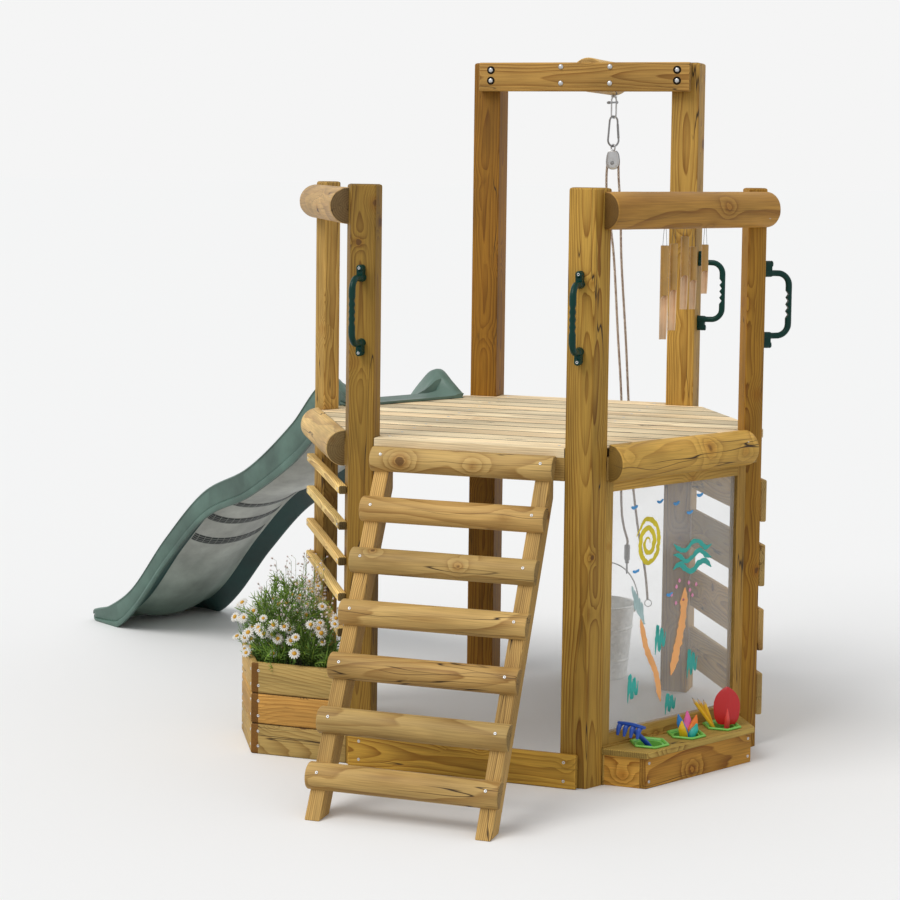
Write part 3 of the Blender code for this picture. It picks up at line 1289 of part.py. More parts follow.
def ground_middle():
    """Middle of the footprint, without the ropes and what hangs on the hand rope."""
    low = Vector((1e9, 1e9, 1e9))
    high = -low
    bpy.context.view_layer.update()
    for thing in bpy.data.objects:
        if thing.type != 'MESH' or thing.name in CORD_NODES:
            continue
        for corner in thing.bound_box:
            point = thing.matrix_world @ Vector(corner)
            low = Vector(map(min, low, point))
            high = Vector(map(max, high, point))
    return Vector(((low.x + high.x) / 2, (low.y + high.y) / 2, low.z))


def build():
    clear_scene()
    pine = material("pine", PINE, 0.62)
    deck_pine = material("deck_pine", DECK_PINE, 0.66)
    slide_green = material("slide_green", SLIDE_GREEN, 0.42)
    handle_green = material("handle_green", HANDLE_GREEN, 0.36)
    steel = material("zinc_steel", STEEL, 0.38, 0.9)
    zinc = material("galvanised", ZINC, 0.45, 0.85)
    build_posts(pine)
    build_deck(deck_pine)
    build_beams(pine)
    build_logs(pine)
    build_ladder(pine)
    build_side_boards(pine)
    build_window(pine, material("clear_plastic", CLEAR, 0.12))
    build_shelf(material("shelf_pine", PALE_PINE, 0.6))
    build_cups(material("cup_green", CUP_GREEN, 0.35))
    build_planter(pine, material("leaf", LEAF_GREEN, 0.6))
    build_slide(slide_green)
    build_handles(handle_green)
    build_arm(pine)
    axle = build_pulley(steel)
    hook_top = build_bucket(zinc, steel)
    build_ropes(axle, hook_top, material("rope", ROPE_TAN, 0.9))
    build_chimes(material("bamboo", BAMBOO, 0.55))
    shift = ground_middle()
    for thing in bpy.data.objects:
        thing.location = thing.location - shift


build()
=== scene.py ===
"""Wooden play treehouse: the finishes, fittings and small pieces, in the order it is put together."""
import math
import random
import bmesh
import bpy
from mathutils import Matrix, Vector, noise


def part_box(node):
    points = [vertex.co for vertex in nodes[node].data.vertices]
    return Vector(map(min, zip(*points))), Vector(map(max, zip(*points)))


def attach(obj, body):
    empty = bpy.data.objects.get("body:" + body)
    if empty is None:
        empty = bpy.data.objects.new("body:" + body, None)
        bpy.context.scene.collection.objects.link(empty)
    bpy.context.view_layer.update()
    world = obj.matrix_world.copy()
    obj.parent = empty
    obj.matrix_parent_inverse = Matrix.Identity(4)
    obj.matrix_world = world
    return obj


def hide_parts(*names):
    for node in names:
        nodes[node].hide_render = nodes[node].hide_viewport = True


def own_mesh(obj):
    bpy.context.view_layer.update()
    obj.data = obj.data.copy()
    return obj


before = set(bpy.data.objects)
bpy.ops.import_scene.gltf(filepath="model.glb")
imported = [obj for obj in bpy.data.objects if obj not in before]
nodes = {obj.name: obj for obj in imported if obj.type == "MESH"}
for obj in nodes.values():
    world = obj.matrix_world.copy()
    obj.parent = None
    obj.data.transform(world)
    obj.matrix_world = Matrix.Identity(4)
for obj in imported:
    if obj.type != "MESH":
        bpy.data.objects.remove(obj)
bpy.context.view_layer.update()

# Where it is seen from. A long lens a little right of the ladder, at head height, under soft
# daylight from above and the left, on a plain pale floor that runs on into a pale sky.
VIEW_POINT = Vector((2.3302, -6.0542, 1.6497))
VIEW_TURN, VIEW_DIP, VIEW_ROLL = math.radians(18.676), math.radians(4.173), 0.01265
FILM_WIDTH = 36
VIEW_LENS, VIEW_DROP = 2155.0 / 900 * FILM_WIDTH, (320 - 450) / 900
PALE, FLOOR_REACH = 0.913, 150


def placed(name, data):
    """New object in the scene."""
    thing = bpy.data.objects.new(name, data)
    bpy.context.scene.collection.objects.link(thing)
    return thing


ahead = Vector((-math.sin(VIEW_TURN) * math.cos(VIEW_DIP), math.cos(VIEW_TURN) * math.cos(VIEW_DIP),
                -math.sin(VIEW_DIP)))
level = Vector((math.cos(VIEW_TURN), math.sin(VIEW_TURN), 0))
raised = level.cross(ahead)
right = level * math.cos(VIEW_ROLL) + raised * math.sin(VIEW_ROLL)
above = raised * math.cos(VIEW_ROLL) - level * math.sin(VIEW_ROLL)
lens = bpy.data.cameras.new("view")
lens.lens, lens.sensor_width, lens.shift_y = VIEW_LENS, FILM_WIDTH, VIEW_DROP
lens.clip_end = 400
camera = placed("view", lens)
camera.matrix_world = Matrix.Translation(VIEW_POINT) @ Matrix((right, above, -ahead)).transposed().to_4x4()
bpy.context.scene.camera = camera
bpy.context.scene.view_settings.view_transform = "Standard"


def feed(tree, node, values):
    """Gives each input a value or joins it to a socket."""
    for key, value in values.items():
        if isinstance(value, bpy.types.NodeSocket):
            tree.links.new(value, node.inputs[key])
        else:
            node.inputs[key].default_value = value


def add_node(tree, kind, values, **settings):
    node = tree.nodes.new(kind)
    for key, value in settings.items():
        setattr(node, key, value)
    feed(tree, node, values)
    return node


def put(tree, kind, values, **settings):
    return add_node(tree, "ShaderNode" + kind, values, **settings)


def maths(tree, operation, first, second=0.0, third=0.0):
    return put(tree, "Math", {0: first, 1: second, 2: third}, operation=operation).outputs[0]


def blend(tree, factor, base, colour, mode="MIX"):
    """One colour mixed into another, or multiplied over it, by a factor."""
    return put(tree, "Mix", {0: factor, 6: base, 7: colour}, data_type="RGBA", blend_type=mode).outputs[2]


def ranged(tree, value, low, high, to_low=0.0, to_high=1.0, **settings):
    """A value read from one range onto another and held at its ends."""
    return put(tree, "MapRange", {0: value, 1: low, 2: high, 3: to_low, 4: to_high}, **settings).outputs[0]


def new_finish(name):
    """Material, its node tree and its main shader."""
    finish = bpy.data.materials.new(name)
    finish.use_nodes = True
    return finish, finish.node_tree, finish.node_tree.nodes["Principled BSDF"]


def lit_for_the_eye(tree):
    """1 for rays that look at or through something, 0 for rays that only carry light."""
    path = tree.nodes.new("ShaderNodeLightPath").outputs
    seen = maths(tree, "MAXIMUM", path["Is Camera Ray"], path["Is Glossy Ray"])
    return maths(tree, "MAXIMUM", seen, path["Is Transmission Ray"])


sky = bpy.data.worlds.new("sky")
sky.use_nodes = True
sky.node_tree.nodes.clear()
glow = put(sky.node_tree, "Background", {"Color": (0.97, 0.985, 1, 1), "Strength": 0.66})
plain = put(sky.node_tree, "Background", {"Color": (PALE, PALE, PALE, 1), "Strength": 1.0})
shown = put(sky.node_tree, "MixShader", {0: lit_for_the_eye(sky.node_tree), 1: glow.outputs[0],
                                        2: plain.outputs[0]})
put(sky.node_tree, "OutputWorld", {"Surface": shown.outputs[0]})
bpy.context.scene.world = sky

sun = bpy.data.lights.new("daylight", "SUN")
sun.energy, sun.angle, sun.color = 1.5, math.radians(35), (1, 0.985, 0.96)
daylight = placed("daylight", sun)
daylight.matrix_world = Vector((-0.55, -0.75, 1.15)).to_track_quat("Z", "Y").to_matrix().to_4x4()

ground = bpy.data.meshes.new("floor")
ground.from_pydata([(x * FLOOR_REACH, y * FLOOR_REACH, 0) for x, y in ((-1, -1), (1, -1), (1, 1), (-1, 1))],
                   [], [(0, 1, 2, 3)])
floor = placed("floor", ground)
pale_floor, tree, face = new_finish("pale_floor")
shade = blend(tree, lit_for_the_eye(tree), (0.62, 0.62, 0.61, 1), (0.898, 0.898, 0.898, 1))
feed(tree, face, {"Base Color": shade, "Roughness": 1.0, "Specular IOR Level": 0.0})
ground.materials.append(pale_floor)

# Hoist ropes. One soft braided rope, brown with a pale fleck, runs over the wheel: down to the
# snap hook on the bucket on one side, and down to a loose end with a steel ring on the other.
TOWER = Vector((0.550658, -0.03879, 0))
WHEEL = TOWER + Vector((0.014, 0.852, 1.6559))
ROPE_DIAMETER = 0.008
WHEEL_BED = 0.0185
ROPE_SIDES, PLAIT_STRANDS, PLAIT_TURN = 16, 4, 620
HOOK_TOP = (0.12524, 0.69423, 0.42781)
BUCKET_ROPE_POINTS = ((-0.0045, 0.846, 1.575), (0.018, 0.829, 1.436), (0.034, 0.816, 1.330),
                      (0.056, 0.792, 1.108), (0.078, 0.769, 0.889), (0.088, 0.742, 0.680),
                      (0.100, 0.718, 0.520), (0.12524, 0.69423, 0.44351))
HAND_ROPE_POINTS = ((0.036, 0.847, 1.601), (0.046, 0.839, 1.500), (0.054, 0.832, 1.337),
                    (0.076, 0.822, 1.080), (0.098, 0.796, 0.840), (0.119, 0.770, 0.640),
                    (0.146, 0.751, 0.475), (0.176, 0.736, 0.336), (0.188, 0.727, 0.246))
ROPE_BROWN, ROPE_PALE = (0.300, 0.185, 0.130, 1), (0.88, 0.74, 0.60, 1)


def smooth_route(points, spacing):
    """Evenly spaced points on a smooth line through a few."""
    dense = []
    for i in range(len(points) - 1):
        p0, p1, p2 = points[max(i - 1, 0)], points[i], points[i + 1]
        p3 = points[min(i + 2, len(points) - 1)]
        dense += [0.5 * (2 * p1 + (p2 - p0) * t + (2 * p0 - 5 * p1 + 4 * p2 - p3) * t * t
                         + (3 * p1 - p0 - 3 * p2 + p3) * t ** 3) for t in (k / 24 for k in range(24))]
    dense.append(points[-1])
    runs = [0.0]
    for a, b in zip(dense, dense[1:]):
        runs.append(runs[-1] + (b - a).length)
    count, route, at = max(round(runs[-1] / spacing), 2), [], 0
    for k in range(count + 1):
        goal = runs[-1] * k / count
        while at < len(runs) - 2 and runs[at + 1] < goal:
            at += 1
        route.append(dense[at].lerp(dense[at + 1], (goal - runs[at]) / (runs[at + 1] - runs[at])))
    return route


def frames_on(route, start_normal):
    """Two square directions across the route at each point, carried along without twist."""
    frames, normal = [], start_normal
    for i in range(len(route)):
        way = (route[min(i + 1, len(route) - 1)] - route[max(i - 1, 0)]).normalized()
        normal = (normal - way * normal.dot(way)).normalized()
        frames.append((normal, way.cross(normal)))
    return frames


def loft(body, rings, closed=False):
    """Faces over rings of points, each with the number of its gap between rings, and the two ends."""
    rows = [[body.verts.new(p) for p in ring] for ring in rings]
    count, made = len(rows[0]), []
    for i in range(len(rows) - (0 if closed else 1)):
        j = (i + 1) % len(rows)
        for k in range(count):
            made.append((body.faces.new((rows[i][k], rows[i][(k + 1) % count], rows[j][(k + 1) % count],
                                         rows[j][k])), i))
    if not closed:
        made += [(body.faces.new(rows[0]), 0), (body.faces.new(list(reversed(rows[-1]))), len(rows) - 2)]
    bmesh.ops.recalc_face_normals(body, faces=[face for face, _ in made])
    return made


def finished(name, body, finish, sharp=35):
    """Object from a bmesh, with one material and clean edges."""
    mesh = bpy.data.meshes.new(name)
    body.to_mesh(mesh)
    body.free()
    if finish:
        mesh.materials.append(finish)
    mesh.shade_smooth()
    mesh.set_sharp_from_angle(angle=math.radians(sharp))
    return placed(name, mesh)


def skin(name, rings, finish=None, closed=False):
    """Object of faces over rings of points."""
    body = bmesh.new()
    loft(body, rings, closed)
    return finished(name, body, finish, 40)


def settled(piece, slot, body_name, *replaced):
    """Says what a finished piece moves with and which CAD nodes it stands for; the finish slot is not used.
    """
    for node in replaced:
        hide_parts(node)
    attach(piece, body_name)


def rope_skin(name, route):
    """Tube with the low bulges of eight plaited strands."""
    fine = smooth_route(route, 0.0024)
    rings, run = [], 0.0
    for i, (point, (n, b)) in enumerate(zip(fine, frames_on(fine, Vector((0, 1, 0))))):
        run += (point - fine[max(i - 1, 0)]).length
        ring = []
        for k in range(ROPE_SIDES):
            a = math.tau * k / ROPE_SIDES
            plait = (math.sin(PLAIT_STRANDS * a + run * PLAIT_TURN)
                     * math.sin(PLAIT_STRANDS * a - run * PLAIT_TURN))
            ring.append(point + (n * math.cos(a) + b * math.sin(a))
                        * (ROPE_DIAMETER / 2 * (0.95 + 0.05 * plait)))
        rings.append(ring)
    rope = skin(name, rings, rope_finish)
    plaits = rope.data.attributes.new("plait", "FLOAT_VECTOR", "POINT")
    run = 0.0
    for i, point in enumerate(fine):
        run += (point - fine[max(i - 1, 0)]).length
        for k in range(ROPE_SIDES):
            plaits.data[i * ROPE_SIDES + k].vector = (run, k / ROPE_SIDES, 0)
    return rope


def parts_of(tree, name):
    """The three parts of a piece's own vector attribute."""
    held = put(tree, "Attribute", {}, attribute_name=name).outputs["Vector"]
    return put(tree, "SeparateXYZ", {0: held}).outputs


rope_finish, tree, face = new_finish("braided_rope")
along, around = parts_of(tree, "plait")[:2]
turn_one, turn_two = [maths(tree, "SINE", maths(tree, "MULTIPLY_ADD", around, math.tau * PLAIT_STRANDS,
                                                maths(tree, "MULTIPLY", along, turn)))
                      for turn in (PLAIT_TURN, -PLAIT_TURN)]
strand = maths(tree, "MULTIPLY", turn_one, turn_two)
speck = put(tree, "TexNoise", {"Scale": 150.0, "Detail": 2.0,
                               "Vector": put(tree, "TexCoord", {}).outputs["Object"]}).outputs["Fac"]
fleck = ranged(tree, maths(tree, "MULTIPLY_ADD", turn_one, 0.16, speck), 0.44, 0.58)
shade = blend(tree, maths(tree, "MULTIPLY", fleck, 0.85), ROPE_BROWN, ROPE_PALE)
# The plait pattern also multiplies the colour down to 0.45 in the grooves between the strands: painted shade.
shade = blend(tree, 1.0, shade, ranged(tree, strand, -1.0, 0.4, 0.45, 1.0), "MULTIPLY")
lift = put(tree, "Bump", {"Height": strand, "Strength": 0.7, "Distance": 0.0006}).outputs[0]
feed(tree, face, {"Base Color": shade, "Roughness": 0.85, "Sheen Weight": 0.25, "Normal": lift})

over = [WHEEL + Vector((math.cos(a), 0, math.sin(a))) * WHEEL_BED
        for a in (math.radians(18 * k) for k in range(10, -1, -1))]
bucket_route = [over[0]] + smooth_route([over[0]] + [TOWER + Vector(p) for p in BUCKET_ROPE_POINTS], 0.04)[1:]
bucket_route.append(TOWER + Vector(HOOK_TOP))
hand_route = over[:-1] + smooth_route([over[-1]] + [TOWER + Vector(p) for p in HAND_ROPE_POINTS], 0.045)


ring_middle = hand_route[-1] + Vector((0.002, 0, -0.0105))
ring = skin("rope_ring", [[ring_middle
                           + (Vector((0.94, 0.34, 0)) * math.cos(t) + Vector((0, 0, 1)) * math.sin(t))
                           * (0.011 + 0.0016 * math.cos(a)) + Vector((-0.34, 0.94, 0)) * 0.0016 * math.sin(a)
                           for a in (math.tau * j / 10 for j in range(10))]
                          for t in (math.tau * k / 36 for k in range(36))], closed=True)
bucket_rope = rope_skin("bucket_rope", bucket_route)
hand_rope = rope_skin("hand_rope", hand_route)
settled(bucket_rope, "rope", "tower", "rope_bucket_side")
settled(hand_rope, "rope", "tower", "rope_hand_side")
settled(ring, "zinc_steel", "tower")
hoist_line = Vector((-0.10419, 0.1267, 0.98645)).normalized()
reach = (bucket_route[0] - bucket_route[-1]).dot(hoist_line)
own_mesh(bucket_rope)

# Posts. Six uprights of pressure-treated pine, planed with eased edges: two front posts cut flush
# with the next sides, a squared one at each side corner, and two taller ones at the back.
EASED_EDGE = 0.0028
RING_WIDTH = 0.0052
POST_TINTS = {"post_front_left": (0.250, 0.150, 0.036), "post_front_right": (0.370, 0.225, 0.058),
              "post_left": (0.420, 0.275, 0.105), "post_right": (0.330, 0.175, 0.032),
              "post_back_left": (0.265, 0.130, 0.022), "post_back_right": (0.385, 0.235, 0.070)}
KNOT_BROWN, SPLIT_PAINTED_SHADE = (0.085, 0.036, 0.012, 1), (0.060, 0.032, 0.014, 1)
LATE_BROWN, KNOT_RIM, CHECK_PAINTED_SHADE = (0.42, 0.29, 0.16, 1), (0.80, 0.60, 0.42, 1), (0.05, 0.028, 0.012, 1)
KNOT_CELL = (0.23, 0.085, 0.085)


def socket(tree, name, kind, default=None, out=False):
    made = tree.interface.new_socket(name, in_out="OUTPUT" if out else "INPUT",
                                     socket_type="NodeSocket" + kind)
    if default is not None:
        made.default_value = default


def stretched(tree, parts, x, y, z):
    """Point with its three parts scaled, for a pattern drawn out along the grain."""
    return put(tree, "CombineXYZ", {0: maths(tree, "MULTIPLY", parts[0], x),
                                    1: maths(tree, "MULTIPLY", parts[1], y),
                                    2: maths(tree, "MULTIPLY", parts[2], z)}).outputs[0]


def cloud(tree, place, detail=2.0, rough=0.5):
    return put(tree, "TexNoise", {"Vector": place, "Scale": 1.0, "Detail": detail,
                                  "Roughness": rough}).outputs["Fac"]


def grey(tree, value):
    return put(tree, "CombineColor", {0: value, 1: value, 2: value}).outputs[0]


grain = bpy.data.node_groups.new("pine_grain", "ShaderNodeTree")
socket(grain, "Ring Width", "Float", RING_WIDTH)
socket(grain, "Knot Size", "Float", 0.013)
for name in ("Late Wood", "Knot", "Knot Rim", "Fibre", "Blotch", "Check", "Height"):
    socket(grain, name, "Float", out=True)
sizes = grain.nodes.new("NodeGroupInput").outputs
spot = parts_of(grain, "grain")
cell = stretched(grain, spot, *(1 / size for size in KNOT_CELL))
knots = put(grain, "TexVoronoi", {"Vector": cell, "Scale": 1.0, "Randomness": 0.9}).outputs
away = put(grain, "VectorMath", {0: cell, 1: knots["Position"]}, operation="SUBTRACT").outputs[0]
away = put(grain, "VectorMath", {0: away, 1: KNOT_CELL}, operation="MULTIPLY").outputs[0]
wobble = maths(grain, "MULTIPLY_ADD", cloud(grain, stretched(grain, spot, 90, 90, 90), 1.0), 0.006, -0.003)
off = maths(grain, "ADD", put(grain, "VectorMath", {0: away}, operation="LENGTH").outputs["Value"], wobble)
lots = put(grain, "SeparateColor", {0: knots["Color"]}).outputs
big = maths(grain, "MULTIPLY_ADD", lots[0], 0.75, 0.35)
present = maths(grain, "GREATER_THAN", lots[1], 0.42)
size = maths(grain, "MULTIPLY", maths(grain, "MULTIPLY", big, sizes["Knot Size"]), present)
size = maths(grain, "ADD", size, 0.00005)
far = maths(grain, "DIVIDE", off, size)
knot = ranged(grain, far, 1.05, 0.82, interpolation_type="SMOOTHSTEP")
rim = ranged(grain, far, 2.3, 0.9, interpolation_type="SMOOTHSTEP")
swell = maths(grain, "MULTIPLY", maths(grain, "EXPONENT", maths(grain, "MULTIPLY", maths(
    grain, "MULTIPLY", far, far), -0.16)), maths(grain, "MULTIPLY", size, 1.25))
drift = put(grain, "VectorMath", {0: put(grain, "TexNoise", {"Vector": stretched(grain, spot, 1.5, 2.2, 2.2),
            "Scale": 1.0, "Detail": 1.0}).outputs["Color"], 1: (0.5, 0.5, 0.5)},
            operation="SUBTRACT").outputs[0]
drift = put(grain, "SeparateXYZ", {0: drift}).outputs
across = maths(grain, "MULTIPLY_ADD", drift[1], 0.05, spot[1])
deep = maths(grain, "MULTIPLY_ADD", drift[2], 0.05, spot[2])
radius = maths(grain, "SQRT", maths(grain, "MULTIPLY_ADD", across, across,
                                    maths(grain, "MULTIPLY", deep, deep)))
radius = maths(grain, "ADD", radius, maths(grain, "MULTIPLY_ADD", cloud(
    grain, stretched(grain, spot, 5.0, 26, 26), 2.0), 0.0042, swell))
turns = maths(grain, "FRACT", maths(grain, "DIVIDE", radius, sizes["Ring Width"]))
turns = maths(grain, "POWER", turns, 2.2)
late = maths(grain, "MULTIPLY", turns, put(grain, "MapRange", {0: turns, 1: 1.0, 2: 0.86}).outputs[0])
late = maths(grain, "MULTIPLY", late, ranged(
    grain, cloud(grain, stretched(grain, spot, 1.2, 30, 30), 1.0), 0.3, 0.7, 0.5, 1.25))
knot_rings = maths(grain, "SINE", maths(grain, "MULTIPLY", off, 2600))
late_in_knot = maths(grain, "MULTIPLY_ADD", knot_rings, 0.25, 0.4)
late = put(grain, "Mix", {0: knot, 2: late, 3: late_in_knot}).outputs[0]
fibre = cloud(grain, stretched(grain, spot, 9, 330, 330), 2.0, 0.6)
blotch = cloud(grain, stretched(grain, spot, 2.4, 9, 9), 3.0)
seam = maths(grain, "ABSOLUTE", maths(grain, "SUBTRACT",
                                      cloud(grain, stretched(grain, spot, 1.5, 24, 24), 2.0), 0.5))
patch = ranged(grain, cloud(grain, stretched(grain, spot, 1.8, 14, 14), 1.0), 0.54, 0.60)
check = maths(grain, "MULTIPLY", put(grain, "MapRange", {0: seam, 1: 0.009, 2: 0.002}).outputs[0], patch)
height = maths(grain, "MULTIPLY_ADD", late, 0.35, maths(grain, "MULTIPLY_ADD", fibre, 0.45,
               maths(grain, "MULTIPLY_ADD", check, -1.0, maths(grain, "MULTIPLY", rim, 0.3))))
results = grain.nodes.new("NodeGroupOutput").inputs
for name, value in (("Late Wood", late), ("Knot", knot), ("Knot Rim", rim), ("Fibre", fibre),
                    ("Blotch", blotch), ("Check", check), ("Height", height)):
    grain.links.new(value, results[name])


def pine(name, ring_width, knot_size, contrast, roughness, relief=0.0006, cast=(1.18, 1.12, 0.79), split=0.0):
    """Timber finish: the piece's own tint, streaked by rings, knots and fibres, with its drying checks and
    splits painted near-black as painted shade.
    """
    finish, tree, face = new_finish(name)
    wood = tree.nodes.new("ShaderNodeGroup")
    wood.node_tree = grain
    feed(tree, wood, {"Ring Width": ring_width, "Knot Size": knot_size})
    out = wood.outputs
    tint = blend(tree, 1.0, put(tree, "Attribute", {}, attribute_name="tint").outputs["Color"], (*cast, 1),
                 "MULTIPLY")

    def over(base, factor, colour, mode="MIX"):
        return blend(tree, factor, base, colour, mode)

    colour = over(tint, maths(tree, "MULTIPLY", out["Late Wood"], contrast), LATE_BROWN, "MULTIPLY")
    tone = put(tree, "MapRange", {0: out["Blotch"], 1: 0.3, 2: 0.7, 3: 0.76, 4: 1.28}).outputs[0]
    tone = maths(tree, "MULTIPLY", tone, ranged(tree, out["Fibre"], 0.25, 0.75, 0.78, 1.20))
    colour = over(colour, 1.0, grey(tree, tone), "MULTIPLY")
    colour = over(colour, maths(tree, "MULTIPLY", out["Knot Rim"], 0.55), KNOT_RIM, "MULTIPLY")
    colour = over(colour, maths(tree, "MULTIPLY", out["Knot"], 0.72), KNOT_BROWN)
    # Drying checks painted near-black: painted shade inside the cracks.
    colour = over(colour, out["Check"], CHECK_PAINTED_SHADE)
    if split:
        where = parts_of(tree, "grain")
        angle = maths(tree, "ARCTAN2", where[2], where[1])
        drift = put(tree, "TexNoise", {"Vector": stretched(tree, where, 2.6, 0, 0), "Scale": 1.0,
                                       "Detail": 2.0})
        away = maths(tree, "ABSOLUTE", maths(tree, "SUBTRACT", angle, maths(
            tree, "MULTIPLY_ADD", drift.outputs["Fac"], 2.6, -1.15)))
        run_mask = put(tree, "TexNoise", {"Vector": stretched(tree, where, 1.3, 0, 0), "Scale": 1.0,
                                          "Detail": 1.0})
        run_mask = ranged(tree, run_mask.outputs["Fac"], 0.47, 0.60, 0.0, split)
        crack = maths(tree, "LESS_THAN", away, run_mask)
        # Splits painted near-black: painted shade inside the crack.
        colour = over(colour, maths(tree, "MULTIPLY", crack, 0.62), SPLIT_PAINTED_SHADE)
    rough = ranged(tree, out["Late Wood"], 0.0, 1.0, roughness, roughness - 0.12)
    lift = put(tree, "Bump", {"Height": out["Height"], "Strength": 0.8, "Distance": relief}).outputs[0]
    feed(tree, face, {"Base Color": colour, "Roughness": rough, "Specular IOR Level": 0.20, "Normal": lift})
    return finish


post_pine = pine("post_pine", RING_WIDTH, 0.016, 0.95, 0.62)
cracked_pine = pine("cracked_pine", RING_WIDTH, 0.016, 0.95, 0.62, split=0.030)


def span(node, way):
    """Least and greatest distance of a CAD node along a direction."""
    reaches = [v.co.dot(way) for v in nodes[node].data.vertices]
    return min(reaches), max(reaches)


def mark_grain(body, run, out, heart, shift, tint, end_tint=0.72, fresh=()):
    """Writes each corner's place in the log it was sawn from, and its colour."""
    places = body.loops.layers.float_vector.new("grain")
    tints = body.loops.layers.float_color.new("tint")
    side = run.cross(out)
    for face in body.faces:
        level_of = end_tint if abs(face.normal.dot(run)) > 0.7 else 1.0
        if face in fresh:
            level_of *= 1.13
        for loop in face.loops:
            reach = loop.vert.co - heart
            loop[places] = (reach.dot(run) + shift, reach.dot(out), reach.dot(side))
            loop[tints] = (tint[0] * level_of, tint[1] * level_of, tint[2] * level_of, 1)


def solid_copy(node):
    """The CAD node's shape with its loose triangles joined into flat faces."""
    body = bmesh.new()
    body.from_mesh(nodes[node].data)
    bmesh.ops.remove_doubles(body, verts=body.verts, dist=1e-5)
    bmesh.ops.dissolve_limit(body, angle_limit=math.radians(0.8), verts=body.verts, edges=body.edges)
    return body


def edged(body, edge, least=28, keep=None):
    """Eases the sharp edges and gives the faces that this makes."""
    corners = [e for e in body.edges if len(e.link_faces) == 2 and e.calc_face_angle() > math.radians(least)
               and (keep is None or keep(e))]
    eased = bmesh.ops.bevel(body, geom=corners, offset=edge, segments=2, profile=0.6, affect="EDGES",
                            clamp_overlap=True)
    bmesh.ops.recalc_face_normals(body, faces=body.faces)
    return set(eased["faces"])


def sawn(node, run, out, depth, shift, tint, finish, ends=0.72):
    """Sawn timber in a CAD node's place, with its edges eased and its grain along it."""
    body = solid_copy(node)
    eased = edged(body, EASED_EDGE)
    low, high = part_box(node)
    mark_grain(body, run.normalized(), out.normalized(), (low + high) / 2 + out * depth, shift, tint, ends,
               eased)
    settled(finished(node + "_timber", body, finish), "pine", "tower", node)


UP = Vector((0, 0, 1))
for k, (node, tint) in enumerate(POST_TINTS.items()):
    sawn(node, UP, Vector((math.cos(k * 1.3), math.sin(k * 1.3), 0)), 0.012, 3.1 + 4.7 * k, tint,
         cracked_pine)

# Half-round logs. Two handrails and two at deck level, turned round on the outside, flat against the
# posts, screwed through at each end. The weathered ends are darker and show their rings.
LOG_TINTS = {"handrail_log_left": (0.46, 0.31, 0.180), "handrail_log_right": (0.36, 0.200, 0.062),
             "deck_log_left": (0.63, 0.45, 0.250), "deck_log_right": (0.58, 0.365, 0.115)}
LOG_SIDES = 30
log_pine = pine("log_pine", 0.0060, 0.015, 0.72, 0.58, 0.0008, split=0.026)


def half_round(node, run, out, tint, shift, finish, end_tint=0.34, rim=0.0045, uneven=0.0012):
    """Half-round pole: a flat back, a slightly uneven round front and rounded-over ends."""
    up = run.cross(out)
    first, last = span(node, run)
    back, front = span(node, out)
    low, high = span(node, up)
    middle, half = (low + high) / 2, (high - low) / 2
    steps = max(int((last - first) / 0.012), 12)
    stops = [first + rim * p for p in (0.0, 0.18, 0.5, 1.0)]
    stops += [first + rim + (last - first - 2 * rim) * k / steps for k in range(1, steps)]
    stops += [last - rim * p for p in (1.0, 0.5, 0.18, 0.0)]
    body, rings = bmesh.new(), []
    for at in stops:
        end = min(at - first, last - at) / rim
        draw = rim * 0.9 * (1 - math.sqrt(max(1 - (1 - min(end, 1)) ** 2, 0)))
        ring = []
        for k in range(LOG_SIDES + 1):
            a = -math.pi / 2 + math.pi * k / LOG_SIDES
            bump = noise.noise(Vector((at * 7 + shift, math.sin(a) * 1.4, math.cos(a) * 1.4))) * uneven
            rise = math.copysign(abs(math.sin(a)) ** 0.98, math.sin(a)) * (half - draw - abs(bump) * 0.3)
            ring.append(run * at + up * (middle + rise) + out * (back + (front - back - draw) * math.cos(a)
                        - abs(bump) * math.cos(a)))
        rings.append(ring)
    loft(body, rings)
    heart = run * ((first + last) / 2) + up * middle + out * back
    mark_grain(body, run, out, heart, shift, tint, end_tint)
    settled(finished(node + "_pole", body, finish, 50), "pine", "tower", node)


def heading(degrees):
    return Vector((math.cos(math.radians(degrees)), math.sin(math.radians(degrees)), 0))


for k, (node, tint) in enumerate(LOG_TINTS.items()):
    turn = (120, 210) if node.endswith("left") else (60, 330)
    half_round(node, heading(turn[0]), heading(turn[1]), tint, 2.3 + 5.1 * k, log_pine)

# Deck. Twelve pale planed boards across the tower on a frame of beams and joists, with open joints;
# the front board laps over the beam like a tread.
DECK_CREAM, DECK_UNDERSIDE_PAINTED_SHADE, DECK_JOINT_PAINTED_SHADE = (0.77, 0.61, 0.39), (0.30, 0.20, 0.09, 1), (0.05, 0.03, 0.014, 1)
TOWER_SIDE, DECK_BOARDS, JOINT_HALF, DECK_EDGE = 0.682, 12, 0.0052, 0.0034
TOWER_REACH = TOWER_SIDE * math.sqrt(3) / 2
BOARD_PITCH = (2 * TOWER_REACH + 0.010) / DECK_BOARDS
DECK_FRONT = TOWER.y - TOWER_REACH
HEART_DEPTH = 0.03
deck_pine = pine("deck_pine", 0.0046, 0.011, 0.50, 0.66, 0.0005, (1.12, 1.16, 1.16))
frame_pine = pine("frame_pine", 0.0050, 0.012, 0.7, 0.7)


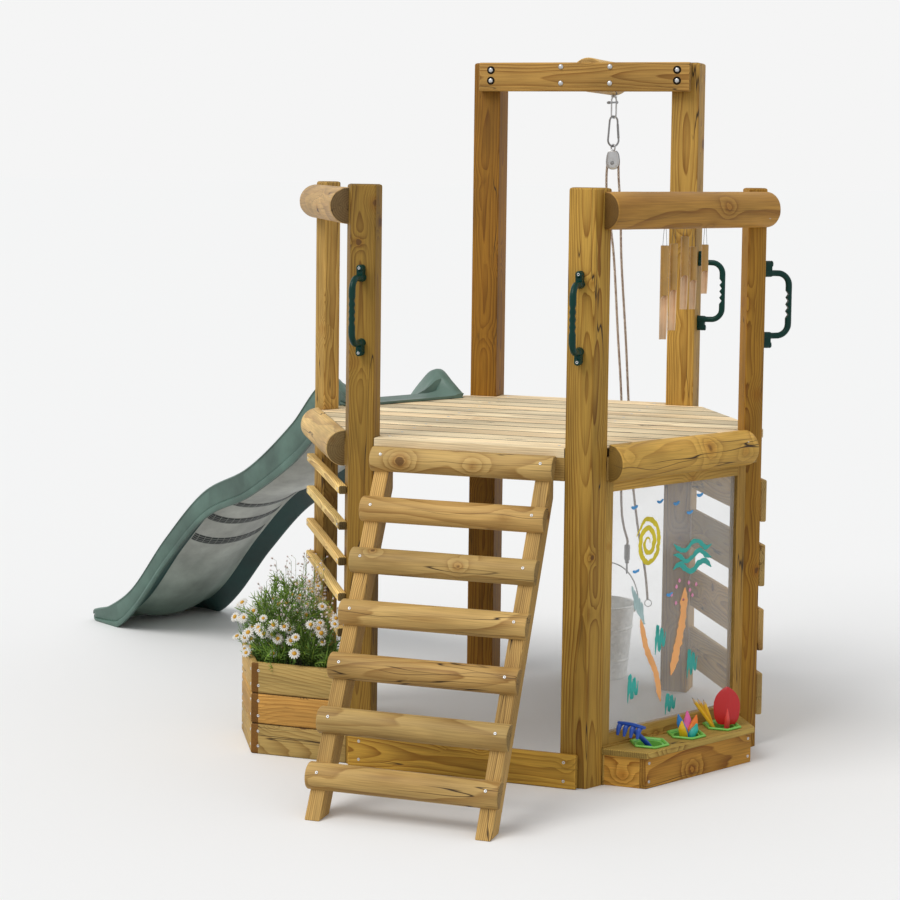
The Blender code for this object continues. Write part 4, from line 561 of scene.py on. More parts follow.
def by_board(body, tint_of, number_of, run_of):
    """Writes grain and colour board by board, for solids that hold several boards."""
    places = body.loops.layers.float_vector.new("grain")
    tints = body.loops.layers.float_color.new("tint")
    for face in body.faces:
        middle = face.calc_center_median()
        number, run = number_of(middle, face.normal), run_of(middle, face.normal)
        out = UP if abs(run.z) < 0.7 else Vector((0, 1, 0))
        side = run.cross(out)
        tint = tint_of(number)
        level_of = 0.62 if abs(face.normal.dot(run)) > 0.8 else 1.0
        for loop in face.loops:
            p = loop.vert.co
            loop[places] = (p.dot(run) + 6.3 * number, p.dot(out) % 10 + HEART_DEPTH,
                            p.dot(side) + 0.037 * (number % 5))
            loop[tints] = (tint[0] * level_of, tint[1] * level_of, tint[2] * level_of, 1)


def varied(tint, number, spread=0.12):
    lift = 1 + spread * math.sin(number * 2.39 + 0.7)
    warm = 1 + 0.04 * math.sin(number * 4.1)
    return (tint[0] * lift * warm, tint[1] * lift, tint[2] * lift / warm)


def paint(body, faces, colour):
    """Gives some faces one colour in place of their own."""
    layer = body.loops.layers.float_color["tint"]
    for face in faces:
        for loop in face.loops:
            loop[layer] = colour


def in_joint(face):
    p = face.calc_center_median()
    off = abs(((p.y - DECK_FRONT) / BOARD_PITCH + 0.5) % 1 - 0.5) * BOARD_PITCH
    return off < JOINT_HALF and p.y > DECK_FRONT + 0.03 and p.z < deck_top - 0.0002


deck = solid_copy("deck_boards")
deck_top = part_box("deck_boards")[1].z
edged(deck, DECK_EDGE, keep=lambda e: all(v.co.z > deck_top - 1e-4 for v in e.verts))
by_board(deck, lambda n: varied(DECK_CREAM, n), lambda p, n: int((p.y - DECK_FRONT) / BOARD_PITCH),
         lambda p, n: Vector((1, 0, 0)))
# Faces that point down are painted dark brown: painted shade under the deck.
paint(deck, [face for face in deck.faces if face.normal.z < -0.5], DECK_UNDERSIDE_PAINTED_SHADE)
# The walls of the open joints between boards are painted near-black: painted shade between the boards.
paint(deck, [face for face in deck.faces if in_joint(face)], DECK_JOINT_PAINTED_SHADE)
settled(finished("deck_planks", deck, deck_pine), "deck_pine", "tower", "deck_boards")

beams = solid_copy("deck_frame")
edged(beams, 0.0015)
by_board(beams, lambda n: varied((0.34, 0.215, 0.085), n), lambda p, n: int(abs(p.x * 7 + p.y * 3)),
         lambda p, n: (UP.cross(n).normalized() if abs(n.z) < 0.5 else Vector((0, 1, 0))))
settled(finished("deck_framing", beams, frame_pine), "pine", "tower", "deck_frame")

# Ladder. Two planed stringers on a slope with seven half-round rungs screwed on, and a kickboard
# between the front posts at the ground behind it.
RUNG_TINT, STRINGER_TINT, KICKBOARD_TINT = (0.42, 0.285, 0.140), (0.46, 0.305, 0.140), (0.45, 0.270, 0.058)
LADDER_SLOPE = math.radians(60)
up_slope = Vector((0, math.cos(LADDER_SLOPE), math.sin(LADDER_SLOPE)))
off_slope = Vector((0, -math.sin(LADDER_SLOPE), math.cos(LADDER_SLOPE)))
for k, hand in enumerate(("left", "right")):
    sawn("ladder_stringer_" + hand, up_slope, Vector((1, 0, 0)), 0.045, 8.2 + 3.3 * k, STRINGER_TINT,
         post_pine)
for k in range(7):
    half_round("ladder_rung_%d" % (k + 1), Vector((1, 0, 0)), off_slope, varied(RUNG_TINT, k, 0.10),
               1.7 + 4.3 * k, log_pine, 0.62, 0.004, 0.0009)
sawn("kickboard_front", Vector((1, 0, 0)), Vector((0, -1, 0)), -0.05, 12.4, KICKBOARD_TINT, post_pine)

# Boards of the sides. Five square battens at the left, and four wide planed boards with open gaps for
# climbing at the right, all screwed to the posts.
BATTEN_TINT, CLIMB_TINT = (0.70, 0.52, 0.270), (0.54, 0.38, 0.19)
# The battens' end faces are tinted at 0.16 of their colour, much darker than end grain elsewhere: end grain
# darkened further by painted shade.
for k in range(5):
    sawn("side_batten_%d" % (k + 1), heading(120), heading(210), 0.03, 14.8 + 2.9 * k, varied(BATTEN_TINT, k),
         post_pine, ends=0.16)
for k in range(4):
    sawn("climbing_board_%d" % (k + 1), heading(120), heading(30), -0.06, 30.8 + 2.9 * k,
         varied(CLIMB_TINT, k + 3), post_pine)

# Paint window. A frame of two stiles and two rails round a clear sheet that children paint on.
WINDOW_TINT, STILE = (0.44, 0.28, 0.09), 0.036


def cut(body, point, normal):
    """Divides the faces along a plane."""
    bmesh.ops.bisect_plane(body, geom=body.verts[:] + body.edges[:] + body.faces[:], plane_co=point,
                           plane_no=normal, dist=1e-6)


window = solid_copy("window_frame")
edged(window, 0.0018)
pane_run, pane_out = heading(60), heading(330)
left_stile, right_stile = (at + inward for at, inward in zip(span("window_frame", pane_run), (STILE, -STILE)))
for edge_at in (left_stile, right_stile):
    cut(window, pane_run * edge_at, pane_run)
by_board(window, lambda n: varied(WINDOW_TINT, n, 0.08),
         lambda p, n: (1 if p.dot(pane_run) < left_stile else 2 if p.dot(pane_run) > right_stile
                       else 3 if p.z > 0.4 else 4),
         lambda p, n: pane_run if left_stile < p.dot(pane_run) < right_stile else UP)
settled(finished("window_surround", window, post_pine), "pine", "tower", "window_frame")

clear_sheet, tree, face = new_finish("clear_sheet")
place = put(tree, "TexCoord", {}).outputs["Object"]
haze = ranged(tree, cloud(tree, put(tree, "Mapping", {0: place, 3: (3, 3, 5)}).outputs[0], 3.0), 0.35, 0.7,
              0.11, 0.21)
feed(tree, face, {"Base Color": (0.95, 0.96, 0.96, 1), "Roughness": 0.06, "Alpha": haze})
nodes["window_pane"].data.materials[0] = clear_sheet


def coloured(body, rings, tint, closed=False):
    """Faces over rings of points, in one colour or a colour for each gap between rings."""
    layer = body.loops.layers.float_color.get("tint") or body.loops.layers.float_color.new("tint")
    for face, gap in loft(body, rings, closed):
        shade = tint(gap) if callable(tint) else tint
        for loop in face.loops:
            loop[layer] = (*shade, 1)


def wire_rings(route, radii, sides=10, closed=False, flat=1.0, start=Vector((0.3, 0.2, 1))):
    """Rings round a route; flat squeezes them in the second direction."""
    if not isinstance(radii, (list, tuple)):
        radii = [radii] * len(route)
    frames = frames_on(route, start)
    if closed:
        ahead_of = [(route[(i + 1) % len(route)] - route[i - 1]).normalized() for i in range(len(route))]
        frames = [((n - w * n.dot(w)).normalized(), w.cross(n).normalized())
                  for w, n in zip(ahead_of, [start] * len(route))]
    return [[p + (n * math.cos(math.tau * k / sides) + b * math.sin(math.tau * k / sides) * flat) * r
             for k in range(sides)] for p, (n, b), r in zip(route, frames, radii)]


def lathed(centre, profile, sides, axis=UP):
    """Rings of a turned shape; the profile gives radius and place along the axis."""
    first = Vector((1, 0, 0)) if abs(axis.x) < 0.9 else Vector((0, 1, 0))
    first = (first - axis * first.dot(axis)).normalized()
    second = axis.cross(first)
    return [[centre + axis * at + (first * math.cos(math.tau * k / sides)
                                   + second * math.sin(math.tau * k / sides)) * r for k in range(sides)]
            for r, at in profile]


mottle = bpy.data.node_groups.new("handled_surface", "ShaderNodeTree")
socket(mottle, "Grain Size", "Float", 0.002)
for name in ("Cloud", "Skin", "Scuff"):
    socket(mottle, name, "Float", out=True)
place = put(mottle, "TexCoord", {}).outputs["Object"]
grain_in = mottle.nodes.new("NodeGroupInput").outputs[0]
clouds = put(mottle, "TexNoise", {"Vector": place, "Scale": 7.0, "Detail": 4.0,
                                  "Roughness": 0.6}).outputs["Fac"]
fine = put(mottle, "TexNoise", {"Vector": place, "Scale": maths(mottle, "DIVIDE", 1.0, grain_in),
                                "Detail": 2.0})
rubbed = put(mottle, "TexNoise", {"Vector": put(mottle, "Mapping", {0: place, 3: (60, 60, 9)}).outputs[0],
                                  "Scale": 1.0, "Detail": 3.0}).outputs["Fac"]
rubbed = put(mottle, "MapRange", {0: rubbed, 1: 0.62, 2: 0.72}).outputs[0]
mottled = mottle.nodes.new("NodeGroupOutput").inputs
for key, value in (("Cloud", clouds), ("Skin", fine.outputs["Fac"]), ("Scuff", rubbed)):
    mottle.links.new(value, mottled[key])


def surfaced(name, roughness, grain_size, relief, wear=0.12, metallic=0.0, tone=(0.86, 1.14), coat=0.0,
             shine=0.5):
    """Plastic, paint or metal finish in the piece's own tint, with clouding, fine grain and scuffs."""
    finish, tree, face = new_finish(name)
    group = tree.nodes.new("ShaderNodeGroup")
    group.node_tree = mottle
    feed(tree, group, {"Grain Size": grain_size})
    out = group.outputs
    level_of = put(tree, "MapRange", {0: out["Cloud"], 1: 0.3, 2: 0.7, 3: tone[0], 4: tone[1]}).outputs[0]
    level_of = maths(tree, "MULTIPLY_ADD", out["Scuff"], wear, level_of)
    colour = put(tree, "Attribute", {}, attribute_name="tint").outputs["Color"]
    colour = blend(tree, 1.0, colour, grey(tree, level_of), "MULTIPLY")
    rough = maths(tree, "MULTIPLY_ADD", out["Scuff"], wear,
                  maths(tree, "MULTIPLY_ADD", out["Cloud"], 0.12, roughness - 0.06))
    lift = put(tree, "Bump", {"Height": out["Skin"], "Strength": 0.6, "Distance": relief}).outputs[0]
    feed(tree, face, {"Base Color": colour, "Roughness": rough, "Metallic": metallic, "Coat Weight": coat,
                      "Specular IOR Level": shine, "Normal": lift})
    return finish


# Brush strokes on the clear sheet: a child's first marks in poster paint, thick enough to stand a
# little off the sheet. Loops, waves, dabs and short dashes, put on by finger and brush.
PAINT = {"yellow": (0.74, 0.60, 0.02), "teal": (0.03, 0.42, 0.36), "blue": (0.07, 0.32, 0.68),
         "orange": (0.98, 0.46, 0.16), "pink": (0.80, 0.30, 0.48), "mist": (0.48, 0.66, 0.66)}
poster_paint = surfaced("poster_paint", 0.5, 0.003, 0.0005, 0.1, tone=(0.8, 1.2))
pane_start = span("window_pane", pane_run)[0]
pane_face = span("window_pane", pane_out)[1]


def on_pane(along, height, lift=0.0):
    return pane_run * (pane_start + along) + pane_out * (pane_face + lift) + UP * height


def stroke(body, marks, width, tint, dry=0.3):
    """Flat ribbon of paint with an uneven edge along a few marks on the sheet."""
    route = smooth_route([Vector((a, z, 0)) for a, z in marks], 0.004)
    rings = []
    for i, spot in enumerate(route):
        way = (route[min(i + 1, len(route) - 1)] - route[max(i - 1, 0)]).normalized()
        side = Vector((-way.y, way.x, 0))
        share = i / (len(route) - 1)
        half = width / 2 * (min(share, 1 - share) * 7 + 0.15 if min(share, 1 - share) < 0.12 else 1)
        reach_a = half * (1 + dry * noise.noise(spot * 90))
        reach_b = half * (1 + dry * noise.noise(spot * 90 + Vector((7, 3, 1))))
        a, b = spot + side * reach_a, spot - side * reach_b
        rings.append([on_pane(a.x, a.y, 0.0003), on_pane(b.x, b.y, 0.0003),
                      on_pane(b.x * 0.8 + a.x * 0.2, b.y * 0.8 + a.y * 0.2, 0.0011),
                      on_pane(b.x * 0.2 + a.x * 0.8, b.y * 0.2 + a.y * 0.8, 0.0011)])
    coloured(body, rings, tint)


strokes = bmesh.new()
spiral = [(0.150 + (0.006 + 0.0031 * k) * math.cos(k * 1.1), 0.630 + (0.008 + 0.0046 * k) * math.sin(k * 1.1))
          for k in range(15)]
stroke(strokes, spiral, 0.014, PAINT["yellow"], 0.5)
for k in range(3):
    wave = [(0.250 + 0.026 * j, 0.545 + 0.030 * k + 0.013 * math.sin(j * 1.7 + k)) for j in range(7)]
    stroke(strokes, wave, 0.016 - 0.002 * k, PAINT["teal"], 0.5)
for marks, width in ((((0.125, 0.425), (0.150, 0.340), (0.188, 0.270), (0.210, 0.185)), 0.019),
                     (((0.300, 0.490), (0.292, 0.400), (0.272, 0.320), (0.250, 0.252)), 0.028)):
    stroke(strokes, marks, width, PAINT["orange"], 0.35)
for along, height, tall in ((0.205, 0.360, 0.085), (0.100, 0.240, 0.080), (0.335, 0.275, 0.085),
                            (0.250, 0.175, 0.060)):
    zigzag = [(along - 0.020 + 0.008 * j, height + (tall / 2 if j % 2 else -tall / 2) * (1 - 0.12 * j))
              for j in range(6)]
    stroke(strokes, zigzag, 0.010, PAINT["teal"], 0.55)
for j in range(5):
    stroke(strokes, ((0.088 + 0.010 * j, 0.520 - 0.012 * j), (0.100 + 0.009 * j, 0.480 - 0.016 * j),
                     (0.104 + 0.010 * j, 0.450 - 0.010 * j)), 0.009, PAINT["mist"], 0.6)
for along, height in ((0.080, 0.735), (0.180, 0.742), (0.245, 0.730), (0.300, 0.700), (0.090, 0.560),
                      (0.340, 0.745), (0.225, 0.480)):
    stroke(strokes, ((along, height), (along + 0.012, height - 0.004), (along + 0.026, height + 0.002)),
           0.008, PAINT["blue"], 0.5)
for k in range(9):
    along = 0.285 + 0.030 * math.cos(k * 2.4) * (1 + k * 0.12)
    height = 0.480 + 0.020 * math.sin(k * 2.4) * (1 + k * 0.1)
    stroke(strokes, ((along, height), (along + 0.005, height + 0.001), (along + 0.010, height)), 0.012,
           PAINT["pink"], 0.3)
settled(finished("paint_strokes", strokes, poster_paint), "clear_plastic", "tower")

# Pot shelf. A planed top on three boards screwed together, standing against the window, with a round
# hole for each cup.
SHELF_TOP_TINT, SHELF_BOX_TINT = (0.42, 0.29, 0.100), (0.47, 0.260, 0.066)
SHELF_DEPTH, SHELF_WALL, SHELF_JOINT = 0.100, 0.015, 0.0832
SHELF_START, SHELF_LENGTH, STRIP_INSET = 0.067, 0.536, 0.004
shelf = solid_copy("pot_shelf")
edged(shelf, 0.0012)
board_line = pane_out * (TOWER_REACH + TOWER.dot(pane_out) + SHELF_DEPTH - SHELF_WALL)
cut(shelf, board_line, pane_out)
by_board(shelf, lambda n: varied(SHELF_TOP_TINT if n == 1 else SHELF_BOX_TINT, n),
         lambda p, n: 1 if p.z > SHELF_JOINT else 2 if (p - board_line).dot(pane_out) > 0
         else 3 if p.dot(pane_run) < board_line.dot(pane_run) + 0.9 else 4,
         lambda p, n: pane_run if p.z > SHELF_JOINT or (p - board_line).dot(pane_out) > 0 or abs(n.z) > 0.5
         else UP.cross(n).normalized())
settled(finished("pot_shelf_boards", shelf, post_pine), "shelf_pine", "tower", "pot_shelf")
shelf_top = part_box("pot_shelf")[1].z
strip, back_line = bmesh.new(), pane_out * (TOWER_REACH + TOWER.dot(pane_out))
first, last = span("pot_shelf", pane_run)
corners = [pane_run * along + back_line + pane_out * deep for along, deep in (
    (first + STRIP_INSET, -0.010), (last - STRIP_INSET, -0.010), (last - STRIP_INSET, 0.0016),
    (first + STRIP_INSET, 0.0016))]
loft(strip, [[p + UP * z for p in corners] for z in (0.0, shelf_top + 0.0025)])
by_board(strip, lambda n: varied(SHELF_TOP_TINT, n), lambda p, n: 5, lambda p, n: pane_run)
settled(finished("shelf_back_strip", strip, post_pine), "shelf_pine", "tower")

# Cups and what stands in them. Bright green moulded cups with a six-sided rim, each holding small
# plastic tools or pencils.
CUP_GREEN_TINT, CUP_INSIDE_PAINTED_SHADE = (0.20, 0.56, 0.09), (0.06, 0.34, 0.05)
CUP_LIFT, CUP_PITCH = shelf_top + 0.0003, 0.145
toy_plastic = surfaced("toy_plastic", 0.34, 0.0016, 0.00025, 0.06, tone=(0.93, 1.07))


def cup_spot(number):
    middle = SHELF_START + SHELF_LENGTH / 2 + (number - 1) * CUP_PITCH
    return TOWER + heading(300) * TOWER_SIDE + pane_run * middle + pane_out * 0.050 + UP * CUP_LIFT


def cup_in(body, centre):
    profile = [(0.0006, -0.0600, 0), (0.0262, -0.0600, 0), (0.0270, -0.0590, 0), (0.0333, -0.0020, 0),
               (0.0335, 0.0001, 0), (0.0520, 0.0001, 1), (0.0542, 0.0010, 1), (0.0550, 0.0032, 1),
               (0.0543, 0.0056, 1), (0.0525, 0.0068, 1), (0.0498, 0.0066, 1), (0.0480, 0.0050, 1),
               (0.0466, 0.0016, 1), (0.0400, -0.0050, 0.6), (0.0318, -0.0140, 0), (0.0250, -0.0572, 0),
               (0.0236, -0.0578, 0), (0.0006, -0.0578, 0)]
    rings = []
    for radius, height, six in profile:
        ring = []
        for k in range(60):
            a = math.tau * k / 60
            flat = math.cos(math.radians(30)) / math.cos(math.radians((k * 6) % 60 - 30))
            ring.append(centre + Vector((math.cos(a), math.sin(a), 0)) * radius * (1 + (flat - 1) * six)
                        + UP * height)
        rings.append(ring)
    # The inside of the cup is painted a darker green than the outside: painted shade in the hollow.
    coloured(body, rings, lambda i: CUP_GREEN_TINT if i < 12 else CUP_INSIDE_PAINTED_SHADE)


def tool(body, route, widths, tint, flat=1.0, sides=12):
    """Rounded tool along a few marks, its width read smoothly along it."""
    fine_route = smooth_route([Vector(p) for p in route], 0.003)
    radii = [widths[min(int(s), len(widths) - 2)] * (1 - (s - min(int(s), len(widths) - 2)))
             + widths[min(int(s), len(widths) - 2) + 1] * (s - min(int(s), len(widths) - 2))
             for s in (i / (len(fine_route) - 1) * (len(widths) - 1) for i in range(len(fine_route)))]
    coloured(body, wire_rings(fine_route, radii, sides, flat=flat, start=heading(18)), tint)


blue, yellow = (0.012, 0.075, 0.42), (0.86, 0.52, 0.015)
teal, orange = (0.03, 0.46, 0.40), (0.92, 0.20, 0.012)
first_cup, second_cup, third_cup = bmesh.new(), bmesh.new(), bmesh.new()
for number, body in enumerate((first_cup, second_cup, third_cup)):
    cup_in(body, cup_spot(number))
spot = cup_spot(0)
head = spot - pane_run * 0.052 - pane_out * 0.018 + UP * 0.056
tool(first_cup, (spot + pane_run * 0.013 - UP * 0.054, spot + pane_run * 0.002 - UP * 0.010,
                 head - UP * 0.008),
     (0.0064, 0.0074, 0.0072, 0.0064), blue, 0.8)
comb = heading(338)
tool(first_cup, (head - comb * 0.042, head + UP * 0.002, head + comb * 0.042),
     (0.0074, 0.0090, 0.0090, 0.0074), blue, 0.55)
for k in range(4):
    root = head + comb * (k - 1.5) * 0.0215
    tool(first_cup, (root, root - pane_run * 0.010 - UP * 0.008, root - pane_run * 0.016 - UP * 0.030),
         (0.0070, 0.0066, 0.0034), blue, 0.5, 10)
spot = cup_spot(1)
for along, across, lean, depth, height, tint in (
        (-0.015, 0.006, -0.012, 0.002, 0.045, yellow),
        (-0.006, 0.004, -0.026, -0.006, 0.062, (0.02, 0.20, 0.56)),
        (0.010, 0.010, 0.012, 0.008, 0.032, teal), (0.016, -0.002, 0.022, 0.004, 0.050, orange),
        (0.012, -0.012, 0.016, -0.012, 0.058, (0.84, 0.13, 0.40))):
    foot = spot + pane_run * along * 0.5 + pane_out * across * 0.5 - UP * 0.055
    rim_point = spot + pane_run * along + pane_out * across
    tip = rim_point + pane_run * lean + pane_out * depth + UP * height
    belly = rim_point.lerp(tip, 0.5) + pane_run * math.copysign(0.004, lean)
    tool(second_cup, (foot, rim_point - UP * 0.004, belly, tip),
         (0.0040, 0.0052, 0.0090, 0.0112, 0.0098, 0.0018), tint, 0.55)
spot = cup_spot(2)
for k in range(3):
    foot = spot + pane_run * (0.010 - 0.004 * k) + pane_out * (0.008 - 0.009 * k) - UP * 0.052
    tip = spot - pane_run * (0.086 - 0.019 * k) - pane_out * (0.036 - 0.004 * k) + UP * (0.088 - 0.005 * k)
    tool(third_cup, (foot, foot.lerp(tip, 0.5), foot.lerp(tip, 0.9)), (0.0048, 0.0048, 0.0048),
         ((0.86, 0.50, 0.02), (0.72, 0.40, 0.015), (0.92, 0.56, 0.03))[k], 1.0, 6)
    tool(third_cup, (foot.lerp(tip, 0.9), foot.lerp(tip, 0.975)), (0.0048, 0.0013), (0.62, 0.42, 0.22), 1.0,
         6)
    tool(third_cup, (foot.lerp(tip, 0.975), tip), (0.0013, 0.0002), (0.05, 0.045, 0.04), 1.0, 6)
red, blade_run, blade_out = (0.56, 0.012, 0.014), heading(22), heading(292)
foot = spot + pane_run * 0.012 + pane_out * 0.006
tool(third_cup, (foot - UP * 0.055, foot + UP * 0.012, foot + UP * 0.046), (0.0060, 0.0066, 0.0062, 0.0022),
     red)
outline = [0.62, 0.80, 0.90, 0.95, 0.98, 1.0, 1.0, 0.98, 0.92, 0.82, 0.66, 0.42, 0.06]
rings = []
for i, share in enumerate(outline):
    height, half = 0.006 + 0.0088 * i, 0.037 * share
    front = [foot + blade_run * half * (j / 4) + blade_out * (0.002 + 0.010 * (1 - abs(j) / 4) * share ** 0.5)
             + UP * height for j in range(-4, 5)]
    back = [p - blade_out * 0.0022 for p in reversed(front)]
    rings.append(front + back)
coloured(third_cup, rings, red)
# The socket is a lighter red than the blade: painted highlight.
tool(third_cup, (foot + blade_out * 0.006 - UP * 0.004, foot + blade_out * 0.012 + UP * 0.024,
                 foot + blade_out * 0.012 + UP * 0.052), (0.0078, 0.0070, 0.0012), (0.80, 0.07, 0.06))
for number, body in enumerate((first_cup, second_cup, third_cup)):
    settled(finished("cup_and_tools_%d" % (number + 1), body, toy_plastic, 50), "cup_green", "tower",
            "paint_cup_%d" % (number + 1))

# Planter. Three tiers of planed boards screwed at the corners, standing against the left side; the
# outer boards' end grain shows at the front corner.
PLANTER_TINTS = ((0.40, 0.275, 0.125), (0.50, 0.290, 0.105), (0.44, 0.310, 0.145))
PLANTER_END, PLANTER_SEAM_PAINTED_SHADE = (0.17, 0.080, 0.022), (0.060, 0.034, 0.014)
PLANTER_WALL, PLANTER_TIER, PLANTER_REACH, PLANTER_LENGTH, SEAM_HALF = 0.018, 0.0855, 0.245, 0.538, 0.0013
left_run, left_out = heading(120), heading(210)
planter = solid_copy("planter_box")
edged(planter, 0.0012, 40)
outer_line = left_out * (TOWER_REACH + TOWER.dot(left_out) + PLANTER_REACH - PLANTER_WALL)
cut(planter, outer_line, left_out)
for level in (PLANTER_TIER * tier + edge for tier in (1, 2) for edge in (-SEAM_HALF, SEAM_HALF)):
    cut(planter, UP * level, UP)


def planter_board(p, n):
    tier = min(int(p.z / PLANTER_TIER), 2)
    end_board = (p - outer_line).dot(left_out) > 0
    return tier * 4 + (0 if end_board else 1 if n.y < -0.5 else 2)


planter_pine = pine("planter_pine", 0.0028, 0.014, 0.62, 0.64, 0.0004)
by_board(planter, lambda n: varied(PLANTER_TINTS[n // 4], n, 0.06), planter_board,
         lambda p, n: (left_run if (p - outer_line).dot(left_out) > 0 or abs(n.z) > 0.5 else
                       UP.cross(n).normalized()))
paint(planter, [face for face in planter.faces if abs(face.normal.dot(left_run)) > 0.45
                and (face.calc_center_median() - outer_line).dot(left_out) > -0.0005], (*PLANTER_END, 1))
# A thin band at each seam between tiers is painted dark: painted shade in the seam between the boards.
paint(planter, [face for face in planter.faces
                if min(abs(face.calc_center_median().z - PLANTER_TIER * k) for k in (1, 2)) < 0.0012],
      (*PLANTER_SEAM_PAINTED_SHADE, 1))
settled(finished("planter_boards", planter, planter_pine), "pine", "tower", "planter_box")

# Planting. Dark potting soil with a mound of feathery leaves, daisies on thin stems and a few airy
# sprigs, which lean out over the rim.
SOIL_LEVEL, SOIL_DOWN = 0.222, 0.01
LEAVES, DAISIES, SPRIGS, BUDS_EACH, PETALS = 680, 92, 64, 10, 13
STEM_GREEN, SPRIG_GREEN = (0.13, 0.27, 0.045), (0.20, 0.30, 0.09)
leafy = surfaced("leaf", 0.62, 0.004, 0.0004, 0.1, tone=(0.6, 1.45))
soil_finish = surfaced("potting_soil", 0.95, 0.006, 0.004, 0.1, tone=(0.5, 1.5))
petal_finish = surfaced("petal", 0.6, 0.002, 0.0003, 0.02, tone=(0.94, 1.04))


def set_out_tree():
    """Geometry nodes that stand a piece on every spot, along the spot's own direction."""
    tree = bpy.data.node_groups.new("set_out", "GeometryNodeTree")
    for name, kind, default in (("Spots", "Geometry", None), ("Piece", "Object", None),
                                ("Finish", "Material", None),
                                ("Least Size", "Float", 1.0), ("Most Size", "Float", 1.0),
                                ("Turn", "Float", 0.0), ("Seed", "Int", 0)):
        socket(tree, name, kind, default)
    socket(tree, "Pieces", "Geometry", out=True)
    given = tree.nodes.new("NodeGroupInput").outputs

    def step(kind, values, **settings):
        return add_node(tree, kind, values, **settings)

    way = step("GeometryNodeInputNamedAttribute", {"Name": "way"}, data_type="FLOAT_VECTOR").outputs[0]
    stand = step("FunctionNodeAlignRotationToVector", {"Vector": way}, axis="Z").outputs[0]
    angle = step("FunctionNodeRandomValue", {2: 0.0, 3: given["Turn"], 8: given["Seed"]}, data_type="FLOAT")
    twist = step("FunctionNodeAxisAngleToRotation", {"Axis": (0, 0, 1), "Angle": angle.outputs[1]}).outputs[0]
    facing = step("FunctionNodeRotateRotation", {"Rotation": stand, "Rotate By": twist},
                  rotation_space="LOCAL")
    later = step("FunctionNodeIntegerMath", {0: given["Seed"], 1: 1}, operation="ADD").outputs[0]
    size = step("FunctionNodeRandomValue", {2: given["Least Size"], 3: given["Most Size"], 8: later},
                data_type="FLOAT")
    shape = step("GeometryNodeObjectInfo", {"Object": given["Piece"]}).outputs["Geometry"]
    stood = step("GeometryNodeInstanceOnPoints", {"Points": given["Spots"], "Instance": shape,
                                                  "Rotation": facing.outputs[0], "Scale": size.outputs[1]})
    real = step("GeometryNodeRealizeInstances", {"Geometry": stood.outputs[0]})
    done = step("GeometryNodeSetMaterial", {"Geometry": real.outputs[0], "Material": given["Finish"]})
    tree.links.new(done.outputs[0], tree.nodes.new("NodeGroupOutput").inputs[0])
    return tree


set_out = set_out_tree()


def spread(name, spots, shape, finish, least=1.0, most=1.0, turn=0.0, seed=0):
    """One plain mesh of a small shape stood on many spots, each a point and a direction."""
    marks = bpy.data.meshes.new(name + "_spots")
    marks.from_pydata([tuple(p) for p, _ in spots], [], [])
    ways = marks.attributes.new("way", "FLOAT_VECTOR", "POINT")
    for i, (_, way) in enumerate(spots):
        ways.data[i].vector = way
    carrier = placed(name + "_spots", marks)
    live = carrier.modifiers.new("set_out", "NODES")
    live.node_group = set_out
    given = {item.name: item.identifier for item in set_out.interface.items_tree if item.in_out == "INPUT"}
    for key, value in (("Piece", shape), ("Finish", finish), ("Least Size", least), ("Most Size", most),
                       ("Turn", turn), ("Seed", seed)):
        live[given[key]] = value
    bpy.context.view_layer.update()
    ready = carrier.evaluated_get(bpy.context.evaluated_depsgraph_get())
    mesh = bpy.data.meshes.new_from_object(ready)
    mesh.name = name
    carrier.modifiers.remove(live)
    bpy.data.objects.remove(carrier)
    return placed(name, mesh)


def small_shape(name, body):
    """Shape to be stood on spots; it leaves the scene once it has been used."""
    mesh = bpy.data.meshes.new(name)
    body.to_mesh(mesh)
    body.free()
    mesh.shade_smooth()
    return placed(name, mesh)


chance = random.Random(7)
BED_INSET = 0.0185
plan = [TOWER + heading(240) * TOWER_SIDE + left_out * 0.0003]
plan.append(plan[0] + left_run * PLANTER_LENGTH)
lean_in = PLANTER_REACH / math.tan(math.radians(60))
plan += [plan[1] - left_run * lean_in + left_out * PLANTER_REACH,
         plan[0] + left_run * lean_in + left_out * PLANTER_REACH]
bed_middle = sum(plan, Vector()) / 4


def bed_point(across, deep):
    """Place on the planter's bed, from the left end to the right and from the back to the front."""
    shrink = [p.lerp(bed_middle, BED_INSET / 0.16) for p in plan]
    return shrink[0].lerp(shrink[1], across).lerp(shrink[3].lerp(shrink[2], across), deep)


earth = bmesh.new()
tops = [[bed_point(i / 26, j / 16) + UP * (SOIL_LEVEL - 0.004
                                           + 0.006 * noise.noise(Vector((i * 0.7, j * 0.7, 0)))
                                           + 0.003 * noise.noise(Vector((i * 2.3, j * 2.3, 5))))
         for i in range(27)] for j in range(17)]
grid = [[earth.verts.new(p) for p in row] for row in tops]
for j in range(16):
    for i in range(26):
        earth.faces.new((grid[j][i], grid[j][i + 1], grid[j + 1][i + 1], grid[j + 1][i]))
rim = grid[0] + [row[-1] for row in grid[1:]] + grid[-1][-2::-1] + [row[0] for row in grid[-2:0:-1]]
base = [earth.verts.new((v.co.x, v.co.y, 0.013)) for v in rim]
for i in range(len(rim)):
    j = (i + 1) % len(rim)
    earth.faces.new((rim[i], rim[j], base[j], base[i]))
earth.faces.new(base)
bmesh.ops.recalc_face_normals(earth, faces=earth.faces)
earth.loops.layers.float_color.new("tint")
paint(earth, earth.faces, (0.035, 0.024, 0.016, 1))
settled(finished("planter_soil", earth, soil_finish, 80), "leaf", "tower", "planter_planting")

